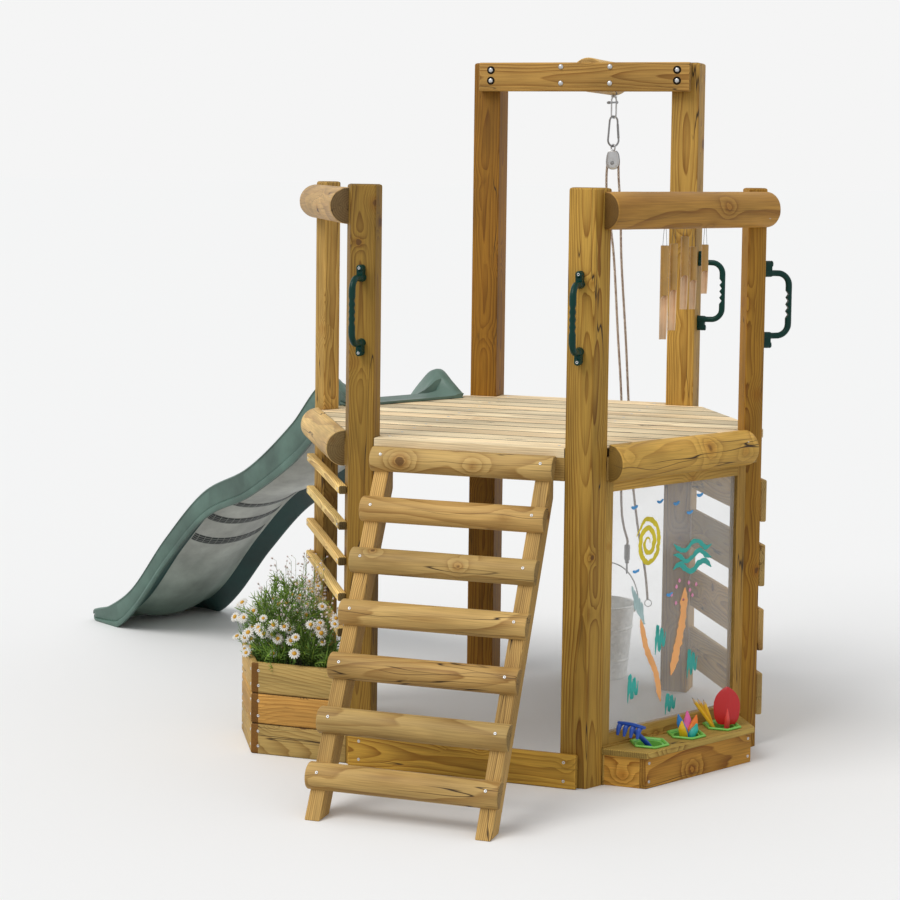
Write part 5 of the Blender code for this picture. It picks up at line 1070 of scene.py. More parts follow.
leaf = bmesh.new()
coloured(leaf, wire_rings([Vector((0.0000, 0, 0)), Vector((0.002, 0, 0.018)), Vector((0.007, 0, 0.036)),
                           Vector((0.016, 0, 0.052))], (0.0010, 0.0022, 0.0017, 0.0003), 4, flat=0.3,
                          start=Vector((0, 1, 0))), lambda i: (0.120 + 0.05 * i, 0.230 + 0.06 * i, 0.030))
for side in (-1, 1):
    for k in range(3):
        root = Vector((0.002 + 0.003 * k, 0, 0.014 + 0.011 * k))
        coloured(leaf, wire_rings([root, root + Vector((0.003, side * 0.007, 0.006)),
                                   root + Vector((0.006, side * 0.012, 0.013))], (0.0010, 0.0011, 0.0002), 3,
                                  start=Vector((1, 0, 0))), (0.16, 0.29, 0.045))
leaf = small_shape("feather_leaf", leaf)
spots = []
for k in range(LEAVES):
    across, deep = chance.uniform(0.03, 0.97), chance.uniform(0.04, 0.96)
    bed = bed_point(across, deep)
    from_middle = bed - bed_middle
    dome = max(1 - (from_middle.dot(left_run) / 0.24) ** 2 - (from_middle.dot(left_out) / 0.17) ** 2, 0.05)
    height = SOIL_LEVEL + chance.uniform(0.0, 1.0) ** 1.1 * 0.215 * dome
    way = (from_middle * chance.uniform(1.0, 7.0) + UP * chance.uniform(0.5, 1.1)
           + Vector((chance.uniform(-0.5, 0.5), chance.uniform(-0.5, 0.5), 0))).normalized()
    spots.append((bed + UP * height, way))
settled(spread("foliage", spots, leaf, leafy, 0.7, 1.35, math.tau, 3), "leaf", "tower")

daisy, eye = bmesh.new(), (0.66, 0.34, 0.02)
for k in range(PETALS):
    a = math.tau * k / PETALS
    way, side = Vector((math.cos(a), math.sin(a), 0)), Vector((-math.sin(a), math.cos(a), 0))
    rings = []
    for reach, half, lift in ((0.0030, 0.0009, 0.0006), (0.0070, 0.0021, 0.0011), (0.0105, 0.0021, 0.0006),
                              (0.0125, 0.0006, -0.0003)):
        rings.append([way * reach + side * half + UP * lift, way * reach + UP * (lift + 0.0005),
                      way * reach - side * half + UP * lift, way * reach + UP * (lift - 0.0003)])
    coloured(daisy, rings, (0.86, 0.85, 0.80))
coloured(daisy, lathed(Vector(), ((0.0010, -0.0010), (0.0048, 0.0004), (0.0043, 0.0026), (0.0022, 0.0039),
                                  (0.0004, 0.0042)), 10), eye)
daisy = small_shape("daisy", daisy)
bud = bmesh.new()
coloured(bud, lathed(Vector(), ((0.0002, 0), (0.0013, 0.0012), (0.0014, 0.0030), (0.0003, 0.0044)), 6),
         (0.78, 0.68, 0.68))
bud = small_shape("bud", bud)
stems, blooms, buds = bmesh.new(), [], []
for k in range(DAISIES):
    across, deep = chance.uniform(0.04, 0.97), chance.uniform(0.12, 1.00)
    foot = bed_point(across, deep) + UP * (SOIL_LEVEL - SOIL_DOWN)
    from_middle = foot - bed_middle
    from_middle.z = 0
    height = chance.uniform(0.045, 0.160) + 0.06 * (1 - deep)
    top = foot + from_middle * chance.uniform(0.15, 0.42) + UP * height
    route = smooth_route([foot, foot.lerp(top, 0.5) + UP * height * 0.12, top], 0.02)
    coloured(stems, wire_rings(route, 0.0008, 4), STEM_GREEN)
    blooms.append((top, (from_middle.normalized() * 0.5 + Vector((0.20, -0.75, 0))
                         + UP * chance.uniform(0.3, 1.2)).normalized()))
for k in range(SPRIGS):
    across, deep = chance.uniform(0.12, 0.98), chance.uniform(0.05, 0.8)
    foot = bed_point(across, deep) + UP * (SOIL_LEVEL - SOIL_DOWN)
    from_middle = foot - bed_middle
    from_middle.z = 0
    height = chance.uniform(0.15, 0.285)
    top = foot + from_middle * 0.22 + Vector((
        chance.uniform(-0.02, 0.02), chance.uniform(-0.02, 0.02), height))
    route = smooth_route([foot, foot.lerp(top, 0.6) + UP * 0.008, top], 0.03)
    coloured(stems, wire_rings(route, 0.0006, 3), SPRIG_GREEN)
    for j in range(BUDS_EACH):
        at = foot.lerp(top, 0.46 + 0.54 * j / (BUDS_EACH - 1))
        side = Vector((chance.uniform(-1, 1), chance.uniform(-1, 1), chance.uniform(0.1, 0.9))) * 0.014
        coloured(stems, wire_rings([at, at + side * 0.5 + UP * 0.001, at + side], 0.0004, 3), SPRIG_GREEN)
        buds.append((at + side, side.normalized()))
settled(finished("plant_stems", stems, leafy, 80), "leaf", "tower")
settled(spread("daisies", blooms, daisy, petal_finish, 0.95, 1.40, math.tau, 5), "leaf", "tower")
settled(spread("buds", buds, bud, petal_finish, 1.1, 2.2, math.tau, 9), "leaf", "tower")
for shape in (leaf, daisy, bud):
    bpy.data.objects.remove(shape)

# Slide. One hollow polyethylene moulding in grey-green, hooked over the deck: a trough between two
# rounded walls that hang down as skirts, with three chequered ribs moulded into the underside.
SLIDE_TINT, SLIDE_SHADED, RIB_DARK = (0.094, 0.165, 0.134), (0.010, 0.052, 0.046), (0.006, 0.013, 0.012)
SLIDE_UNDER_PAINTED_BOUNCE_LIGHT, SLIDE_UNDER_PAINTED_SHADE = (0.56, 0.58, 0.54), (0.20, 0.29, 0.24)
SLIDE_RIM = ((-0.055, 0.918), (-0.010, 0.950), (0.060, 0.990), (0.133, 0.941), (0.248, 0.826), (0.480, 0.660),
             (0.730, 0.549), (0.955, 0.362), (1.155, 0.162), (1.300, 0.075), (1.400, 0.046))
SLIDE_WALL = ((-0.055, 0.012), (-0.002, 0.040), (0.004, 0.062), (0.060, 0.140), (0.133, 0.150),
              (0.248, 0.128),
              (0.480, 0.097), (0.955, 0.088), (1.155, 0.085), (1.260, 0.092), (1.300, 0.080), (1.400, 0.050))
SLIDE_HALF, SLIDE_RIM_WIDTH, SLIDE_SKIN, SLIDE_SKIRT = 0.230, 0.032, 0.007, 0.024
SLIDE_CLEAR, DECK_HEIGHT = 0.004, 0.905
RIB_PLACES, RIB_HALF, RIB_DROP = (0.712, 0.806, 0.902), 0.0155, 0.004
TROUGH_HALF, TROUGH_ROUND, NOSE = 0.150, 0.042, 0.030
SLIDE_END, NOSE_PAST_END = 1.400, 0.024


def smooth_height(points, at):
    """Height of a smooth line through a few points."""
    slopes = [(points[min(i + 1, len(points) - 1)][1] - points[max(i - 1, 0)][1])
              / (points[min(i + 1, len(points) - 1)][0] - points[max(i - 1, 0)][0])
              for i in range(len(points))]
    i = 0
    while i < len(points) - 2 and at > points[i + 1][0]:
        i += 1
    (x0, y0), (x1, y1) = points[i], points[i + 1]
    s, run = (at - x0) / (x1 - x0), x1 - x0
    return ((2 * s ** 3 - 3 * s ** 2 + 1) * y0 + (s ** 3 - 2 * s ** 2 + s) * run * slopes[i]
            + (3 * s ** 2 - 2 * s ** 3) * y1 + (s ** 3 - s ** 2) * run * slopes[i + 1])


def slide_point(run, lateral, height):
    return (TOWER + heading(150) * (TOWER_REACH + run) + heading(60) * (lateral - 0.015)
            + UP * height)


def slide_section(run):
    """Half outline over a wall, half of a skirt's inside, and the bowed underside between them."""
    rim, wall = smooth_height(SLIDE_RIM, run), smooth_height(SLIDE_WALL, run)
    bottom = max(rim - wall, 0.0003)
    if run < SLIDE_CLEAR:
        bottom = DECK_HEIGHT + 0.0003
    rim = max(rim, bottom + 2.2 * SLIDE_SKIN)
    floor_at = bottom + min(SLIDE_SKIRT, max((rim - bottom) * 0.3, SLIDE_SKIN + 0.0015))
    under = floor_at - SLIDE_SKIN
    half, lip, tall = SLIDE_HALF, min(0.010, (rim - bottom) * 0.3), rim - bottom
    rounding = min(TROUGH_ROUND, (tall - SLIDE_SKIRT) * 0.5) if run > 0.02 and tall > 0.06 else 0.0
    top_in = half - SLIDE_RIM_WIDTH
    fold = min(0.030, tall * 0.24)
    marks = [(half - 0.007, bottom), (half - 0.003, bottom + fold * 0.4),
             (half - 0.004, bottom + fold * 0.85),
             (half - 0.0095, bottom + fold), (half - 0.0065, bottom + fold * 1.25), (half - 0.004, rim - lip),
             (half, rim - lip * 0.55), (half - 0.004, rim - lip * 0.1), (half - SLIDE_RIM_WIDTH * 0.5, rim),
             (top_in + 0.003, rim - lip * 0.3), (top_in - 0.002, rim - lip)]
    for k in range(1, 7):
        x = top_in - 0.004 - (top_in - 0.004 - TROUGH_HALF * 0.45) * k / 6
        marks.append((x, floor_at + rounding * min(x / TROUGH_HALF, 1.15) ** 2.4
                      + (max(0.0, rim - lip - floor_at - rounding * 1.4)
                         * max(0.0, 1 - 1.6 * (k / 6)) ** 2 * 0.6)))
    inner = half - 0.010 - SLIDE_SKIN
    below = [(inner, bottom), (TROUGH_HALF + 0.012, under + rounding * 0.98), (TROUGH_HALF, under + rounding)]
    bow = [(x, under + rounding * abs(x / TROUGH_HALF) ** 2.2)
           for x in (TROUGH_HALF * (1 - 2 * k / 28) for k in range(1, 28))]
    return marks, below, bow


nose_from = SLIDE_END + NOSE_PAST_END - NOSE
runs = [-0.055 + 0.0588 * k / 8 for k in range(9)] + [SLIDE_CLEAR + 0.0002]
runs += [SLIDE_CLEAR + 0.004 + (nose_from - SLIDE_CLEAR - 0.004) * k / 330 for k in range(331)]
runs += [nose_from + NOSE * math.sin(math.pi / 2 * k / 8) for k in range(1, 9)]
body, rows = bmesh.new(), []
for run in runs:
    marks, below, bow = slide_section(min(run, SLIDE_END))
    low_at = min(z for _, z in marks)
    rim_at = max(z for _, z in marks)
    share = max(0.0, (run - nose_from) / NOSE)
    squeeze = 0.12 + 0.88 * math.sqrt(max(1 - share ** 2, 0.0))
    ribbed = max((1 - (abs(run - p) / RIB_HALF) ** 4) for p in RIB_PLACES)
    section = marks + [(-x, z) for x, z in reversed(marks)] + [(-x, z) for x, z in below]
    section += [(-x, z - RIB_DROP * max(0.0, ribbed) * min(1.0, (TROUGH_HALF - abs(x)) / 0.012))
                for x, z in bow]
    section += list(reversed(below))
    middle_at = low_at + (rim_at - low_at) * 0.42
    rows.append([body.verts.new(slide_point(run, x * (1 - 0.05 * share ** 2),
                                            middle_at * (1 - squeeze) + z * squeeze if share > 0 else z))
                 for x, z in section])
count, skirt = len(rows[0]), 2 * len(marks)
tints = body.loops.layers.float_color.new("tint")
spots = body.loops.layers.float_vector.new("lie")


def slide_tint(run, k):
    """Green outside and in the trough, painted shade inside the skirts, and an underside painted pale as
    bounced light that fades to painted shade towards the lower end.
    """
    if k < skirt:
        return SLIDE_TINT
    if k < skirt + len(below) - 1 or k > count - len(below):
        return SLIDE_SHADED
    # Pale grey painted on the underside as bounced light, fading to painted shade towards the lower end.
    share = min(max((run - 0.90) / 0.32, 0.0), 1.0)
    return tuple(a + (b - a) * share for a, b in zip(SLIDE_UNDER_PAINTED_BOUNCE_LIGHT, SLIDE_UNDER_PAINTED_SHADE))


for i in range(len(rows) - 1):
    for k in range(count):
        j = (k + 1) % count
        face = body.faces.new((rows[i][k], rows[i][j], rows[i + 1][j], rows[i + 1][k]))
        under_side = 1.0 if skirt + len(below) - 1 <= k <= count - len(below) else 0.0
        for loop, run in zip(face.loops, (runs[i], runs[i], runs[i + 1], runs[i + 1])):
            loop[tints] = (*slide_tint(run, k), 1)
            loop[spots] = (run, (loop.vert.co - TOWER).dot(heading(60)) + 0.015, under_side)
body.faces.new(rows[0])
body.faces.new(list(reversed(rows[-1])))
bmesh.ops.recalc_face_normals(body, faces=body.faces)
for face in body.faces:
    if len(face.verts) > 4:
        for loop in face.loops:
            loop[tints] = (*SLIDE_TINT, 1)

slide_skin = surfaced("slide_polyethylene", 0.42, 0.0022, 0.0005, 0.07, tone=(0.70, 1.30))
tree = slide_skin.node_tree
face = tree.nodes["Principled BSDF"]
lie = parts_of(tree, "lie")
near = 1.0
for place_along in RIB_PLACES:
    gap = maths(tree, "ABSOLUTE", maths(tree, "SUBTRACT", lie[0], place_along))
    near = maths(tree, "MINIMUM", near, gap)
band = ranged(tree, near, RIB_HALF * 0.96, RIB_HALF * 0.88)
side = ranged(tree, maths(tree, "ABSOLUTE", lie[1]), 0.149, 0.146)
band = maths(tree, "MULTIPLY", maths(tree, "MULTIPLY", band, side), lie[2])
lines = maths(tree, "ABSOLUTE", maths(tree, "SINE", maths(tree, "MULTIPLY", lie[0], math.pi / 0.0072)))
crossing = maths(tree, "ABSOLUTE", maths(tree, "SINE", maths(tree, "MULTIPLY", lie[1], math.pi / 0.026)))
cells = maths(tree, "MINIMUM", ranged(tree, lines, 0.20, 0.45), ranged(tree, crossing, 0.10, 0.20))
chequer = maths(tree, "MULTIPLY", band, maths(tree, "MULTIPLY_ADD", cells, 0.50, 0.50))
before = face.inputs["Base Color"].links[0].from_socket
feed(tree, face, {"Base Color": blend(tree, chequer, before, (*RIB_DARK, 1))})
settled(finished("slide_moulding", body, slide_skin, 42), "slide_green", "tower", "slide")

# Grab handles. Moulded nylon in deep green, a round screw boss beyond each arm and a row of finger
# notches along the grip's inner side.
HANDLE_TINT = (0.0008, 0.036, 0.027)
BOSS_HALF, ARM_HALF, HANDLE_REACH, GRIP_RADIUS, BEND = 0.1145, 0.0885, 0.076, 0.0092, 0.034
NOTCH, NOTCH_PITCH, HANDLE_SIDES = 0.0085, 0.0195, 20
nylon = surfaced("handle_nylon", 0.34, 0.0014, 0.0002, 0.08, tone=(0.85, 1.15), coat=0.08, shine=0.15)


def grab_handle(node, foot, out, run):
    bend = [(HANDLE_REACH - BEND + BEND * math.sin(a), ARM_HALF - BEND + BEND * math.cos(a))
            for a in (math.radians(9 * k) for k in range(1, 10))]
    arm = [(reach, ARM_HALF) for reach in (0.0003, 0.004, 0.006, 0.020, 0.024, 0.026, 0.034)]
    widths = [0.0118, 0.0122, 0.0112, 0.0108, 0.0104, 0.0088, 0.0086] + [0.0087] * 7 + [0.0090, GRIP_RADIUS]
    straight = ARM_HALF - BEND
    grip = [(HANDLE_REACH, straight - 2 * straight * k / 72) for k in range(1, 72)]
    line = arm + bend + grip + [(a, -b) for a, b in reversed(arm + bend)]
    widths = widths + [GRIP_RADIUS] * len(grip) + widths[::-1]
    path = [foot + out * a + UP * b for a, b in line]
    rings = []
    for i, ((a, b), radius) in enumerate(zip(line, widths)):
        way = (path[min(i + 1, len(path) - 1)] - path[max(i - 1, 0)]).normalized()
        across = way.cross(run).normalized()
        if across.dot(out) < 0:
            across = -across
        if a < HANDLE_REACH - BEND:
            across = UP if b > 0 else -UP
        saw = abs(b / NOTCH_PITCH - round(b / NOTCH_PITCH - 0.5) - 0.5) * 2
        on_grip = a > HANDLE_REACH - 1e-6 and abs(b) < 2 * NOTCH_PITCH
        cut = NOTCH * max(0.0, 1 - saw) ** 0.8 if on_grip else 0.0
        ring = []
        for k in range(HANDLE_SIDES):
            side, depth = math.cos(math.tau * k / HANDLE_SIDES), math.sin(math.tau * k / HANDLE_SIDES)
            ring.append(path[i] + run * side * radius * (1 - 0.25 * cut / NOTCH)
                        + across * (max(depth * radius, cut - radius) if depth < 0 else depth * radius))
        rings.append(ring)
    body = bmesh.new()
    coloured(body, rings, HANDLE_TINT)
    for turn in (-1, 1):
        coloured(body, lathed(foot + UP * BOSS_HALF * turn, (
            (0.0090, 0.0003), (0.0092, 0.0180), (0.0086, 0.0186), (0.0086, 0.0200), (0.0092, 0.0206),
            (0.0092, 0.0235), (0.0078, 0.0262), (0.0040, 0.0272), (0.0003, 0.0274)), 20, out), HANDLE_TINT)
        web = [foot + UP * turn * z + run * x for x, z in (
            (-0.0085, ARM_HALF), (0.0085, ARM_HALF), (0.0088, BOSS_HALF), (-0.0088, BOSS_HALF))]
        coloured(body, [[p + out * at for p in web] for at in (0.0003, 0.0215, 0.0230)], HANDLE_TINT)
    settled(finished(node + "_moulding", body, nylon, 50), "handle_green", "tower", node)


handle_marks = []
for node, out, run in (("grab_handle_front_left", heading(270), heading(0)),
                       ("grab_handle_front_right", heading(270), heading(0)),
                       ("grab_handle_right", heading(30), heading(120)),
                       ("grab_handle_back_right", heading(0), heading(90))):
    low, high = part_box(node)
    middle = (low + high) / 2
    foot = middle + out * (span(node, out)[0] - 0.0003 - middle.dot(out))
    grab_handle(node, foot, out, run)
    handle_marks.append((foot, out))

# Crossbar and arm. A planed plank bolted across the tall posts, and a round pole through-bolted
# behind it that reaches out over the bucket.
crossbar_tint, arm_tint = (0.41, 0.245, 0.090), (0.50, 0.33, 0.15)
sawn("crossbar", Vector((1, 0, 0)), Vector((0, -1, 0)), -0.04, 40.7, crossbar_tint, post_pine)
low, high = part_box("pulley_arm")
pole, centre = bmesh.new(), Vector(((low.x + high.x) / 2, low.y, (low.z + high.z) / 2))
radius, length, rings = (high.z - low.z) / 2, high.y - low.y, []
POLE_SIDES, POLE_WEAR = 56, 0.0010
for at, draw in [(0, 0.006), (0.0012, 0.003), (0.004, 0.0008), (0.007, 0)] + [
        (0.007 + (length - 0.014) * k / 30, 0) for k in range(1, 30)] + [
        (length - 0.007, 0), (length - 0.004, 0.0008), (length - 0.0012, 0.003), (length, 0.006)]:
    ring_points = []
    for a in (math.tau * k / POLE_SIDES for k in range(POLE_SIDES)):
        wear = 0.5 + 0.5 * noise.noise(Vector((at * 6, math.cos(a) * 1.5, math.sin(a) * 1.5)))
        ring_points.append(centre + Vector((math.cos(a), 0, math.sin(a))) * (radius - draw - POLE_WEAR * wear)
                           + Vector((0, at, 0)))
    rings.append(ring_points)
loft(pole, rings)
mark_grain(pole, Vector((0, 1, 0)), Vector((1, 0, 0)), centre + Vector((0.006, 0, -0.004)), 9.9, arm_tint,
           0.7)
settled(finished("pulley_arm_pole", pole, log_pine, 50), "pine", "tower", "pulley_arm")

# Pulley. Bright zinc hardware hung under the arm: a long eye with a wing pin, a pear-shaped snap
# link, and a block of two pressed cheeks with a grooved wheel between them.
STEEL, STEEL_DARK = (0.56, 0.565, 0.57), (0.30, 0.30, 0.305)
zinc_steel = surfaced("zinc_steel", 0.34, 0.0012, 0.0001, 0.16, metallic=0.95, tone=(0.80, 1.10))
ring.data.materials.append(zinc_steel)
shine = ring.data.attributes.new("tint", "FLOAT_COLOR", "CORNER")
for item in shine.data:
    item.color = (*STEEL, 1)
link_way = heading(52)
link_side = Vector((-link_way.y, link_way.x, 0))
hang = WHEEL - UP * WHEEL.z
EYE_TOP, EYE_MIDDLE, LINK_TOP, LINK_LOW = 1.8717, 1.8367, 1.8078, 1.7098
BLOCK_RING, BLOCK_HEAD = 1.7059, 1.6959


def looped(centre, first, second, radius, half_length=0.0, count=48):
    points = []
    for k in range(count):
        a = math.tau * (k + 0.5) / count
        points.append(centre + first * radius * math.cos(a)
                      + second * (radius * math.sin(a) + math.copysign(half_length, math.sin(a))))
    return points


def wire_loop(body, loop, radius, normal, tint=STEEL, sides=12):
    coloured(body, wire_rings(loop, radius, sides, closed=True, start=normal), tint, closed=True)


eye = bmesh.new()
wire_loop(eye, looped(hang + UP * EYE_MIDDLE, link_side, UP, 0.0125, 0.0225), 0.0028, link_way)
coloured(eye, lathed(hang + UP * (EYE_TOP - 0.0028),
                     ((0.0002, 0), (0.0098, 0), (0.0100, 0.0006), (0.0100, 0.0058),
                      (0.0094, 0.0064), (0.0002, 0.0064)), 24), STEEL)
pin = hang + UP * (EYE_MIDDLE + 0.0160)
coloured(eye, wire_rings([pin - link_side * 0.0165, pin + link_side * 0.021], 0.0030, 12), STEEL_DARK)
coloured(eye, wire_rings([pin + link_side * 0.0200, pin + link_side * 0.0225, pin + link_side * 0.0300,
                          pin + link_side * 0.0320], (0.0032, 0.0066, 0.0070, 0.0040), 14, flat=0.7,
                         start=link_way), STEEL_DARK)
coloured(eye, wire_rings([pin - link_side * 0.0175, pin - link_side * 0.0130], 0.0052, 6), STEEL_DARK)
settled(finished("eye_and_pin", eye, zinc_steel, 50), "zinc_steel", "tower", "eye_bolt")

snap = bmesh.new()
pear = [hang + UP * (LINK_TOP - 0.016) + link_way * 0.016 * math.cos(a) + UP * 0.016 * math.sin(a)
        for a in (math.pi * (k + 0.5) / 18 for k in range(18))]
pear += [hang + UP * (LINK_LOW + 0.022) + link_way * 0.022 * math.cos(a) + UP * 0.022 * math.sin(a)
         for a in (math.pi * (1 + (k + 0.5) / 14) for k in range(14))]
wire_loop(snap, pear, 0.0032, link_side, STEEL_DARK, 14)
gate_low, gate_high = pear[-1].lerp(pear[0], 0.10), pear[-1].lerp(pear[0], 0.84)
coloured(snap, wire_rings([gate_low, gate_low.lerp(gate_high, 0.04), gate_low.lerp(gate_high, 0.96),
                           gate_high],
                          (0.0031, 0.0039, 0.0039, 0.0031), 14), STEEL_DARK)
settled(finished("snap_link", snap, zinc_steel, 50), "zinc_steel", "tower", "carabiner")

block, face_out = bmesh.new(), Vector((0, 1, 0))
wire_loop(block, looped(hang + UP * BLOCK_RING, link_side, UP, 0.0100, 0, 36), 0.0028, link_way)
inside, cheek = 0.0115 / 2 + 0.0008, 0.022
coloured(block, [[hang + UP * (BLOCK_HEAD - z) + Vector((x * 0.011, y * (inside + 0.001), 0))
                  for x, y in ((1, 0.8), (0.9, 1), (-0.9, 1), (-1, 0.8), (-1, -0.8), (-0.9, -1), (0.9, -1),
                               (1, -0.8))]
                 for z in (0.0002, 0.0115)], STEEL_DARK)
for turn in (-1, 1):
    plate = [Vector((cheek * math.cos(a), 0, cheek * math.sin(a)))
             for a in (math.pi * (1 + k / 24) for k in range(25))]
    plate += [Vector((cheek * 0.985, 0, 0.010)), Vector((cheek * 0.92, 0, 0.022)),
              Vector((cheek * 0.76, 0, 0.033)),
              Vector((cheek * 0.52, 0, 0.0395)), Vector((-cheek * 0.52, 0, 0.0395)),
              Vector((-cheek * 0.76, 0, 0.033)),
              Vector((-cheek * 0.92, 0, 0.022)), Vector((-cheek * 0.985, 0, 0.010))]
    middle = sum(plate, Vector()) / len(plate)
    rings = [[WHEEL + middle.lerp(p, grow) + face_out * turn * (inside + at) for p in plate]
             for grow, at in ((0.97, 0), (1.0, 0.0002), (1.0, 0.0013), (0.985, 0.0018), (0.90, 0.0020),
                              (0.86, 0.0026), (0.40, 0.0028), (0.05, 0.0028))]
    coloured(block, rings, STEEL)
    coloured(block, lathed(WHEEL + face_out * turn * (inside + 0.0012),
                           ((0.0066, 0), (0.0068, 0.0010), (0.0058, 0.0032), (0.0030, 0.0040),
                            (0.0003, 0.0042)), 24,
                           face_out * turn), STEEL_DARK)
coloured(block, lathed(WHEEL, ((0.0035, -inside - 0.001), (0.0035, inside + 0.001)), 20, face_out),
         STEEL_DARK)
settled(finished("pulley_cheeks", block, zinc_steel, 45), "zinc_steel", "tower", "pulley_block")

WHEEL_WIDTH, ROPE_ROOM = 0.0115, 0.0009
wheel, bed, w = bmesh.new(), 0.004 + ROPE_ROOM, WHEEL_WIDTH / 2
flange = [(WHEEL_BED + bed * rise, at) for rise, at in ((0.43, w), (0.45, w - 0.0004), (0.40, w - 0.0008))]
groove = [(WHEEL_BED - bed * deep, at) for deep, at in (
    (0, w - 0.0009), (0.40, bed * 0.90), (0.66, bed * 0.72), (0.85, bed * 0.48), (0.92, bed * 0.22))]
half_shape = [(0.0040, w), (0.0070, w), (0.0078, w - 0.0008), (0.0150, w - 0.0008), (0.0160, w)]
half_shape += flange + groove
profile = half_shape + [(r, -at) for r, at in reversed(half_shape)]
coloured(wheel, lathed(WHEEL, profile, 48, face_out), STEEL, closed=True)
for k in range(5):
    a = math.tau * k / 5
    at = WHEEL + Vector((math.cos(a), 0, math.sin(a))) * 0.0114
    coloured(wheel, lathed(at - face_out * (w - 0.0002), ((0.0026, 0), (0.0022, 0.0003)), 12, face_out),
             STEEL_DARK)
settled(finished("grooved_wheel", wheel, zinc_steel, 45), "zinc_steel", "wheel", "pulley_wheel")

# Bucket. Small galvanised pail with a rolled rim, two raised beads and riveted ears, hung by a wire
# bail from the rope's snap hook.
BUCKET_HEIGHT, BUCKET_TOP, BUCKET_BASE, BUCKET_SHEET = 0.240, 0.106, 0.084, 0.0024
EAR_HEIGHT, BAIL_RISE, BAIL_WIRE = 0.222, 0.148, 0.0022
ZINC_TINT = (0.95, 0.96, 0.93)
pail_zinc = surfaced("galvanised", 0.40, 0.0030, 0.0001, 0.14, metallic=0.25, tone=(0.84, 1.12))
tree = pail_zinc.node_tree
face = tree.nodes["Principled BSDF"]
place = put(tree, "TexCoord", {}).outputs["Object"]
crystals = put(tree, "TexVoronoi", {"Vector": place, "Scale": 85.0, "Randomness": 1.0}).outputs["Color"]
spangle = ranged(tree, put(tree, "SeparateColor", {0: crystals}).outputs[0], 0.0, 1.0, 0.86, 1.08)
before = face.inputs["Base Color"].links[0].from_socket
feed(tree, face, {"Base Color": blend(tree, 1.0, before, grey(tree, spangle), "MULTIPLY")})
pail_centre = TOWER + Vector((0.050, 0.672, 0))
hinge = heading(16.5)
hinge_side = Vector((-hinge.y, hinge.x, 0))


def pail_radius(height):
    return BUCKET_BASE + (BUCKET_TOP - BUCKET_BASE) / BUCKET_HEIGHT * height


pail, t = bmesh.new(), BUCKET_SHEET
profile = [(0.0004, 0.006), (pail_radius(0) - 0.006, 0.006), (pail_radius(0) - 0.0035, 0.0040),
           (pail_radius(0) - 0.0030, 0.0005), (pail_radius(0) - 0.0015, 0.0), (pail_radius(0), 0.0008),
           (pail_radius(0.006) + 0.0010, 0.006), (pail_radius(0.012), 0.012)]
for bead in (0.060, 0.165):
    profile += [(pail_radius(bead + d) + 0.0024 * (0.5 + 0.5 * math.cos(math.pi * d / 0.006)), bead + d)
                for d in (-0.007, -0.006, -0.004, -0.002, 0, 0.002, 0.004, 0.006, 0.007)]
roll, roll_at = 0.0036, Vector((pail_radius(0.2364) + 0.0030, 0.2364))
profile += [(pail_radius(0.2300), 0.2300)]
profile += [(roll_at.x + roll * math.cos(a), roll_at.y + roll * math.sin(a))
            for a in (math.radians(-140 + 25 * k) for k in range(13))]
profile += [(pail_radius(0.232) - t, 0.232)]
profile += [(pail_radius(h) - t, h) for h in (0.200, 0.172)]
for bead in (0.165, 0.060):
    profile += [(pail_radius(bead + d) - t + 0.0018 * (0.5 + 0.5 * math.cos(math.pi * d / 0.006)), bead + d)
                for d in (0.006, 0.003, 0, -0.003, -0.006)]
profile += [(pail_radius(0.012) - t, 0.012), (pail_radius(0.0085) - t - 0.002, 0.0088), (0.0004, 0.0084)]
coloured(pail, lathed(pail_centre, profile, 96), ZINC_TINT)
ear_face = pail_radius(EAR_HEIGHT) - t * 0.4
for turn in (-1, 1):
    middle = pail_centre + hinge * turn * (ear_face + 0.001) + UP * EAR_HEIGHT
    plate = [middle + hinge_side * x * 0.012 + UP * z * 0.012 for x, z in (
        (1, -0.75), (0.75, -1), (-0.75, -1), (-1, -0.75), (-1, 0.45), (-0.5, 1), (0.5, 1), (1, 0.45))]
    coloured(pail, [[middle.lerp(p, grow) + hinge * turn * at for p in plate]
                    for grow, at in ((1, -0.002), (1, 0.0015), (0.92, 0.0022))], ZINC_TINT)
    barrel = lathed(middle, ((0.0062, 0.0015), (0.0062, 0.0070), (0.0056, 0.0080), (0.0036, 0.0080),
                             (0.0032, 0.0070), (0.0032, 0.0018)), 20, hinge * turn)
    coloured(pail, barrel, ZINC_TINT)
    for x in (-0.0088, 0.0088):
        coloured(pail, lathed(middle + hinge_side * x - UP * 0.0078, (
            (0.0024, 0.0018), (0.0022, 0.0030), (0.0012, 0.0036), (0.0002, 0.0037)), 10, hinge * turn), STEEL)
settled(finished("pail", pail, pail_zinc, 38), "galvanised", "bucket", "bucket")

start, arm = ear_face + 0.0038, ear_face + 0.009 + 0.0055
pivot = pail_centre + UP * EAR_HEIGHT
line = [hinge * -start, hinge * -(arm - 0.002)]
for k in range(25):
    a = math.pi - math.pi * k / 24
    flat = math.copysign(abs(math.cos(a)) ** 0.82, math.cos(a)) if abs(math.cos(a)) > 1e-6 else 0
    line.append(hinge * arm * flat + UP * (0.006 + (BAIL_RISE - 0.006) * math.sin(a) ** 0.95))
line += [hinge * (arm - 0.002), hinge * start]
bail = bmesh.new()
coloured(bail, wire_rings(smooth_route([pivot + p for p in line], 0.004), BAIL_WIRE, 12, start=hinge_side),
         STEEL)
settled(finished("bail", bail, zinc_steel, 60), "zinc_steel", "hook_and_handle", "bucket_handle")

